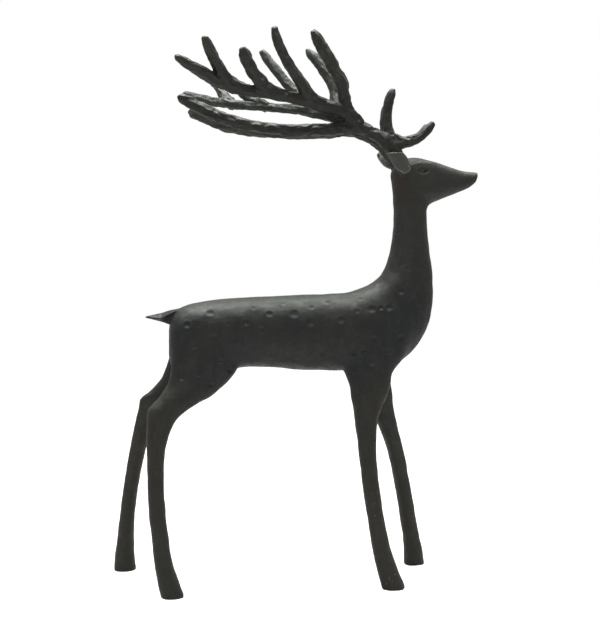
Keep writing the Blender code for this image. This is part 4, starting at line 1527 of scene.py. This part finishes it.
def body_iron(groups, colours):
    """Return the body's satin green-black finish: dust and painted top light, a rubbed nape, painted
    light and edge highlights on the ears, painted shade in the pupils, paint specks.
    """
    skin, dust_and_painted_light = groups
    material, tree, shader, place = new_material(FINISH_NAMES[0])
    cast = placed_group(
        tree, skin, place, (-900, 100), Blotch_Scale=26.0, Lump_Scale=210.0, Grain_Scale=1300.0)
    facing_up = placed_group(tree, dust_and_painted_light, place, (-900, -250), Start=0.3, Full=0.95)
    colour, upper = body_colour(tree, place, cast, colours)
    # Dust and painted top light on what faces up, less on the head and the tail
    tail = near_mask(tree, place, TAIL_SPOT, (-900, 900))
    head_and_tail = computed(tree, "MAXIMUM", (-450, 800), upper, tail)
    shown = computed(tree, "MULTIPLY_ADD", (-300, 800), head_and_tail, -HEAD_AND_TAIL_LOSS, DUST_AND_LIGHT_SHARE)
    lighter = computed(tree, "MULTIPLY", (-500, -250), facing_up["Mask"], shown)
    nape = near_mask(tree, place, NAPE_SPOT, (-900, -500))
    nape = computed(tree, "MULTIPLY", (-450, -500), nape, NAPE_STRENGTH)
    absolute = node(tree, "ShaderNodeVectorMath", (-1100, -1400), operation="ABSOLUTE")
    link(tree, place, absolute.inputs[0])
    mirrored = absolute.outputs[0]
    # Painted light on the ears and painted highlights on their edges
    ears, ear_edge_highlights = ear_masks(tree, mirrored)
    layers = (
        (lighter, colours.dust_and_painted_light),
        (nape, colours.rubbed_nape),
        (ears, colours.ears),
        (ear_edge_highlights, colours.ear_edge_highlights),
        # Painted shade in the pupils' hollows
        (near_mask(tree, mirrored, PUPIL_SHADE_SPOT, (-900, -1800)), colours.pupils),
        (speck_mask(tree, place), colours.specks),
    )
    for row, (mask, layer_colour) in enumerate(layers):
        colour = mixed(tree, mask, colour, layer_colour, (150 * row - 250, 50))
    link(tree, colour, shader.inputs["Base Color"])
    set_gloss(tree, shader, cast, BODY_ROUGHNESS, BODY_SPECULAR, BODY_BUMP)
    return material


def inner_face_light(tree, place):
    """Return the mask of the painted light on the faces of the antlers that face each other."""
    facing = surface_normal(tree, (-900, -650))
    side = computed(tree, "SIGN", (-700, -850), parted(tree, place, (-900, -850))["Y"])
    outward = computed(tree, "MULTIPLY", (-550, -650), facing["Y"], side)
    inward = scaled(tree, outward, INNER_LIGHT_SHARE, 0.0, (-400, -650), *INNER_FACING)
    light_breakup = noise(tree, place, INNER_LIGHT_SCALE, INNER_LIGHT_DETAIL, (-700, -1050))
    kept = scaled(tree, light_breakup, LEAST_INNER_LIGHT, 1.0, (-500, -1050), *INNER_LIGHT_VALUES)
    return computed(tree, "MULTIPLY", (-200, -650), inward, kept)


def antler_iron(groups, colours):
    """Return the antlers' darker, glossier finish, with dust and painted top light, and painted light on
    their inner faces.
    """
    skin, dust_and_painted_light = groups
    material, tree, shader, place = new_material(FINISH_NAMES[1])
    cast = placed_group(
        tree, skin, place, (-900, 100), Blotch_Scale=60.0, Lump_Scale=330.0, Grain_Scale=1500.0)
    facing_up = placed_group(tree, dust_and_painted_light, place, (-900, -250), Start=0.1, Full=0.85)
    height = parted(tree, place, (-900, 450))["Z"]
    high = scaled(tree, height, 0.0, ANTLER_BROWN_SHARE, (-700, 450), *ANTLER_BROWN_FROM)
    patchy = computed(tree, "MULTIPLY", (-700, 250), cast["Blotch"], ANTLER_BLOTCH_STRENGTH)
    browner = computed(tree, "ADD", (-550, 350), high, patchy, clamp=True)
    colour = mixed(tree, browner, colours.antler_blue, colours.antler_brown, (-400, 100))
    # Dust and painted top light on what faces up, and painted light on the inner faces
    lighter = computed(tree, "MULTIPLY", (-500, -250), facing_up["Mask"], ANTLER_DUST_AND_LIGHT_SHARE)
    lighter = computed(tree, "MAXIMUM", (-350, -250), lighter, inner_face_light(tree, place))
    colour = mixed(tree, lighter, colour, colours.dust_and_painted_light, (-250, 50))
    link(tree, colour, shader.inputs["Base Color"])
    set_gloss(tree, shader, cast, ANTLER_ROUGHNESS, ANTLER_SPECULAR, ANTLER_BUMP)
    return material


def finishes():
    """Return both finishes, made once with the groups that they share."""
    made = [bpy.data.materials.get(name) for name in FINISH_NAMES]
    if None in made:
        groups = cast_skin_group(), dust_and_light_group()
        colours = bpy.context.scene.stag_finish
        made = [body_iron(groups, colours), antler_iron(groups, colours)]
    return made


def finish_piece(piece, material, node_name):
    """Give the piece its finish and set it on the frame in its solid's place."""
    piece.data.materials.clear()
    piece.data.materials.append(material)
    piece.data.shade_smooth()
    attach(piece, "root")
    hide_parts(node_name)


def aim_at(thing, target):
    """Turn a light or a camera towards a point."""
    thing.rotation_euler = (Vector(target) - thing.location).to_track_quat("-Z", "Y").to_euler()


def add_softbox(name, place, target, size, watts, colour):
    """Add one rectangular soft light."""
    light = bpy.data.lights.new(name, "AREA")
    light.shape = "RECTANGLE"
    light.size, light.size_y = size
    light.energy = watts
    light.color = colour
    lamp = bpy.data.objects.new(name, light)
    lamp.location = place
    aim_at(lamp, target)
    bpy.context.scene.collection.objects.link(lamp)
    lamp.visible_camera = False


def white_world(front, back):
    """Make the surroundings: white as seen, and as light dim in front and brighter behind."""
    world = bpy.data.worlds.new("studio")
    bpy.context.scene.world = world
    world.use_nodes = True
    tree = world.node_tree
    lit = tree.nodes["Background"]
    lit.inputs["Color"].default_value = (*WARM_WHITE, 1.0)
    way = parted(tree, node(tree, "ShaderNodeTexCoord", (-800, 0)).outputs["Generated"], (-600, 0))
    strength = scaled(tree, way["Y"], front, back, (-350, 0), *FRONT_TO_BACK)
    link(tree, strength, lit.inputs["Strength"])
    seen = node(tree, "ShaderNodeBackground", (0, -200), Strength=1.0)
    seen.inputs["Color"].default_value = WHITE
    path = node(tree, "ShaderNodeLightPath", (0, 300))
    mix = node(tree, "ShaderNodeMixShader", (250, 0))
    link(tree, path.outputs["Is Camera Ray"], mix.inputs[0])
    link(tree, lit.outputs[0], mix.inputs[1])
    link(tree, seen.outputs[0], mix.inputs[2])
    link(tree, mix.outputs[0], tree.nodes["World Output"].inputs["Surface"])


def add_floor(paleness):
    """Add the pale floor, brightened for the camera alone so that it runs into the white."""
    material = bpy.data.materials.new("pale_floor")
    material.use_nodes = True
    tree = material.node_tree
    shader = tree.nodes["Principled BSDF"]
    shader.inputs["Base Color"].default_value = (*FLOOR_GREY, 1.0)
    shader.inputs["Roughness"].default_value = FLOOR_ROUGHNESS
    shader.inputs["Emission Color"].default_value = WHITE
    seen = node(tree, "ShaderNodeLightPath", (-600, -200)).outputs["Is Camera Ray"]
    glow = computed(tree, "MULTIPLY", (-300, -200), seen, paleness)
    link(tree, glow, shader.inputs["Emission Strength"])
    bm = bmesh.new()
    bmesh.ops.create_circle(bm, cap_ends=True, segments=FLOOR_SIDES, radius=FLOOR_RADIUS)
    mesh = bpy.data.meshes.new("floor")
    bm.to_mesh(mesh)
    bm.free()
    floor = add_piece("floor", mesh)
    floor.data.materials.append(material)


def add_camera():
    """Add the camera where the photograph was taken from."""
    eye, forwards, _, _ = camera_place()
    data = bpy.data.cameras.new("camera")
    data.sensor_width = SENSOR_MM
    data.lens = SENSOR_MM * PHOTO_FOCAL / PHOTO_HEIGHT
    data.shift_y = (PHOTO_HORIZON - PHOTO_HEIGHT / 2) / PHOTO_HEIGHT
    camera = bpy.data.objects.new("camera", data)
    camera.location = Vector(eye)
    aim_at(camera, Vector(eye) + Vector(forwards))
    bpy.context.scene.collection.objects.link(camera)
    bpy.context.scene.camera = camera


class StagSizes(PropertyGroup):
    """Sizes of the relief and fineness of the castings."""

    dent_depth: FloatProperty(
        name="Dent depth", description="Depth of a hammered dent on the body",
        default=0.00075, min=0.0, max=0.002, unit="LENGTH", precision=5)
    cast_unevenness: FloatProperty(
        name="Unevenness", description="How far the body's skin swells and sinks",
        default=0.00022, min=0.0, max=0.001, unit="LENGTH", precision=5)
    ear_thickness: FloatProperty(
        name="Ear thickness", description="Thickness of the ear plates",
        default=0.0024, min=0.001, max=0.005, unit="LENGTH", precision=4)
    ear_rim: FloatProperty(
        name="Ear rim", description="Width of the rim round an ear's hollow",
        default=0.0016, min=0.0005, max=0.004, unit="LENGTH", precision=4)
    ear_dish: FloatProperty(
        name="Ear hollow", description="Depth of an ear's hollow",
        default=0.0008, min=0.0, max=0.0015, unit="LENGTH", precision=4)
    ridge_strength: FloatProperty(
        name="Ridges", description="How flat the long facets of the tines are",
        default=0.95, min=0.0, max=1.5, subtype="FACTOR")
    scoop_depth: FloatProperty(
        name="Scoops", description="Depth of the tines' scoops, as a share of the radius",
        default=0.15, min=0.0, max=0.4, subtype="FACTOR")
    body_fineness: FloatProperty(
        name="Body fineness", description="Grid of the body's skin",
        default=0.00066, min=0.0004, max=0.003, unit="LENGTH", precision=5)
    antler_fineness: FloatProperty(
        name="Antler fineness", description="Grid of the antlers' skin",
        default=0.0005, min=0.0004, max=0.003, unit="LENGTH", precision=5)
    most_triangles: IntProperty(
        name="Most triangles", description="Triangles that one casting may have",
        default=190000, min=10000, max=199000)


def colour_property(name, description, default):
    """Return a colour property."""
    return FloatVectorProperty(
        name=name, description=description, default=default, size=3, min=0.0, max=1.0, subtype="COLOR")


class StagFinish(PropertyGroup):
    """Colours of the castings' finishes."""

    body_green: colour_property("Body green", "Green-black of the body", (0.0092, 0.0112, 0.0134))
    streaks: colour_property("Streaks", "Paler streaks down the neck and flanks", (0.040, 0.041, 0.038))
    head_grey: colour_property("Head grey", "Grey of the neck and the head", (0.0260, 0.0258, 0.0246))
    body_brown: colour_property("Body brown", "Brown-black of the body", (0.0228, 0.0188, 0.0138))
    # Settled dust and painted light, on what faces up and on the antlers' inner faces
    dust_and_painted_light: colour_property("Dust", "Grey-green of what faces up", (0.065, 0.074, 0.065))
    # Painted light on the ears
    ears: colour_property("Ears", "Paler paint of the ears", (0.078, 0.074, 0.070))
    # Painted highlights on the ears' edges
    ear_edge_highlights: colour_property("Ear edges", "Worn, pale edges of the ears", (0.30, 0.29, 0.25))
    # Painted shade in the pupils' hollows
    pupils: colour_property("Pupils", "Dark of the pupils", (0.002, 0.002, 0.002))
    rubbed_nape: colour_property("Nape", "Red-brown tint behind the ear", (0.040, 0.022, 0.017))
    specks: colour_property("Specks", "Pale paint specks on a shank", (0.42, 0.42, 0.38))
    antler_blue: colour_property("Antler blue", "Blue-black of the antlers", (0.0175, 0.0178, 0.0172))
    antler_brown: colour_property("Antler brown", "Brown-black of the antlers", (0.0400, 0.0385, 0.0345))


class StagStudio(PropertyGroup):
    """Light of the studio."""

    front: FloatProperty(
        name="Front", description="Strength of the surroundings' light on the camera's side",
        default=0.35, min=0.0, max=3.0)
    back: FloatProperty(
        name="Back", description="Strength of the surroundings' light behind the figure",
        default=0.5, min=0.0, max=3.0)
    paleness: FloatProperty(
        name="Floor paleness", description="How far the floor is brightened for the camera",
        default=0.9, min=0.0, max=2.0)
    overhead: FloatProperty(
        name="Overhead", description="Power of the overhead softbox",
        default=34.0, min=0.0, max=500.0, unit="POWER")


class STAG_OT_body(Operator):
    """Build the body casting in the place of its solid"""

    bl_idname = "stag.body"
    bl_label = "Build Body"

    def execute(self, context):
        body = shape_body(context.scene.stag_sizes)
        finish_piece(body, finishes()[0], "body")
        return {"FINISHED"}


class STAG_OT_antlers(Operator):
    """Build both antler castings in the places of their solids"""

    bl_idname = "stag.antlers"
    bl_label = "Build Antlers"

    def execute(self, context):
        for name, side in (("antler_right", -1), ("antler_left", 1)):
            antler = shape_antler(f"stag_{name}", side, ANTLER_SEEDS[name], context.scene.stag_sizes)
            finish_piece(antler, finishes()[1], name)
        return {"FINISHED"}


class STAG_OT_studio(Operator):
    """Build the floor, the lights, the surroundings and the camera"""

    bl_idname = "stag.studio"
    bl_label = "Build Studio"

    def execute(self, context):
        studio = context.scene.stag_studio
        context.scene.view_settings.view_transform = "Standard"
        white_world(studio.front, studio.back)
        add_floor(studio.paleness)
        add_softbox(
            "overhead", SOFTBOX_PLACE, SOFTBOX_AIM, SOFTBOX_SIZE, studio.overhead, GREEN_WHITE)
        add_camera()
        return {"FINISHED"}


class STAG_PT_build(Panel):
    """Lists what builds the stag and what it is built with"""

    bl_idname = "STAG_PT_build"
    bl_label = "Cast Iron Stag"
    bl_space_type = "VIEW_3D"
    bl_region_type = "UI"
    bl_category = "Stag"

    def draw(self, context):
        layout = self.layout
        for operator in (STAG_OT_body, STAG_OT_antlers, STAG_OT_studio):
            layout.operator(operator.bl_idname)
        for settings in (context.scene.stag_sizes, context.scene.stag_finish, context.scene.stag_studio):
            box = layout.box()
            for name in settings.bl_rna.properties.keys():
                if name not in ("rna_type", "name"):
                    box.prop(settings, name)


CLASSES = (
    StagSizes,
    StagFinish,
    StagStudio,
    STAG_OT_body,
    STAG_OT_antlers,
    STAG_OT_studio,
    STAG_PT_build,
)


def register():
    """Register the classes and put their settings on the scene."""
    for cls in CLASSES:
        bpy.utils.register_class(cls)
    bpy.types.Scene.stag_sizes = PointerProperty(type=StagSizes)
    bpy.types.Scene.stag_finish = PointerProperty(type=StagFinish)
    bpy.types.Scene.stag_studio = PointerProperty(type=StagStudio)


def unregister():
    """Take the settings and the classes away again."""
    for name in ("stag_studio", "stag_finish", "stag_sizes"):
        delattr(bpy.types.Scene, name)
    for cls in reversed(CLASSES):
        bpy.utils.unregister_class(cls)


def main():
    """Build the stag and its studio."""
    register()
    bpy.ops.stag.body()
    bpy.ops.stag.antlers()
    bpy.ops.stag.studio()


if __name__ == "__main__":
    main()
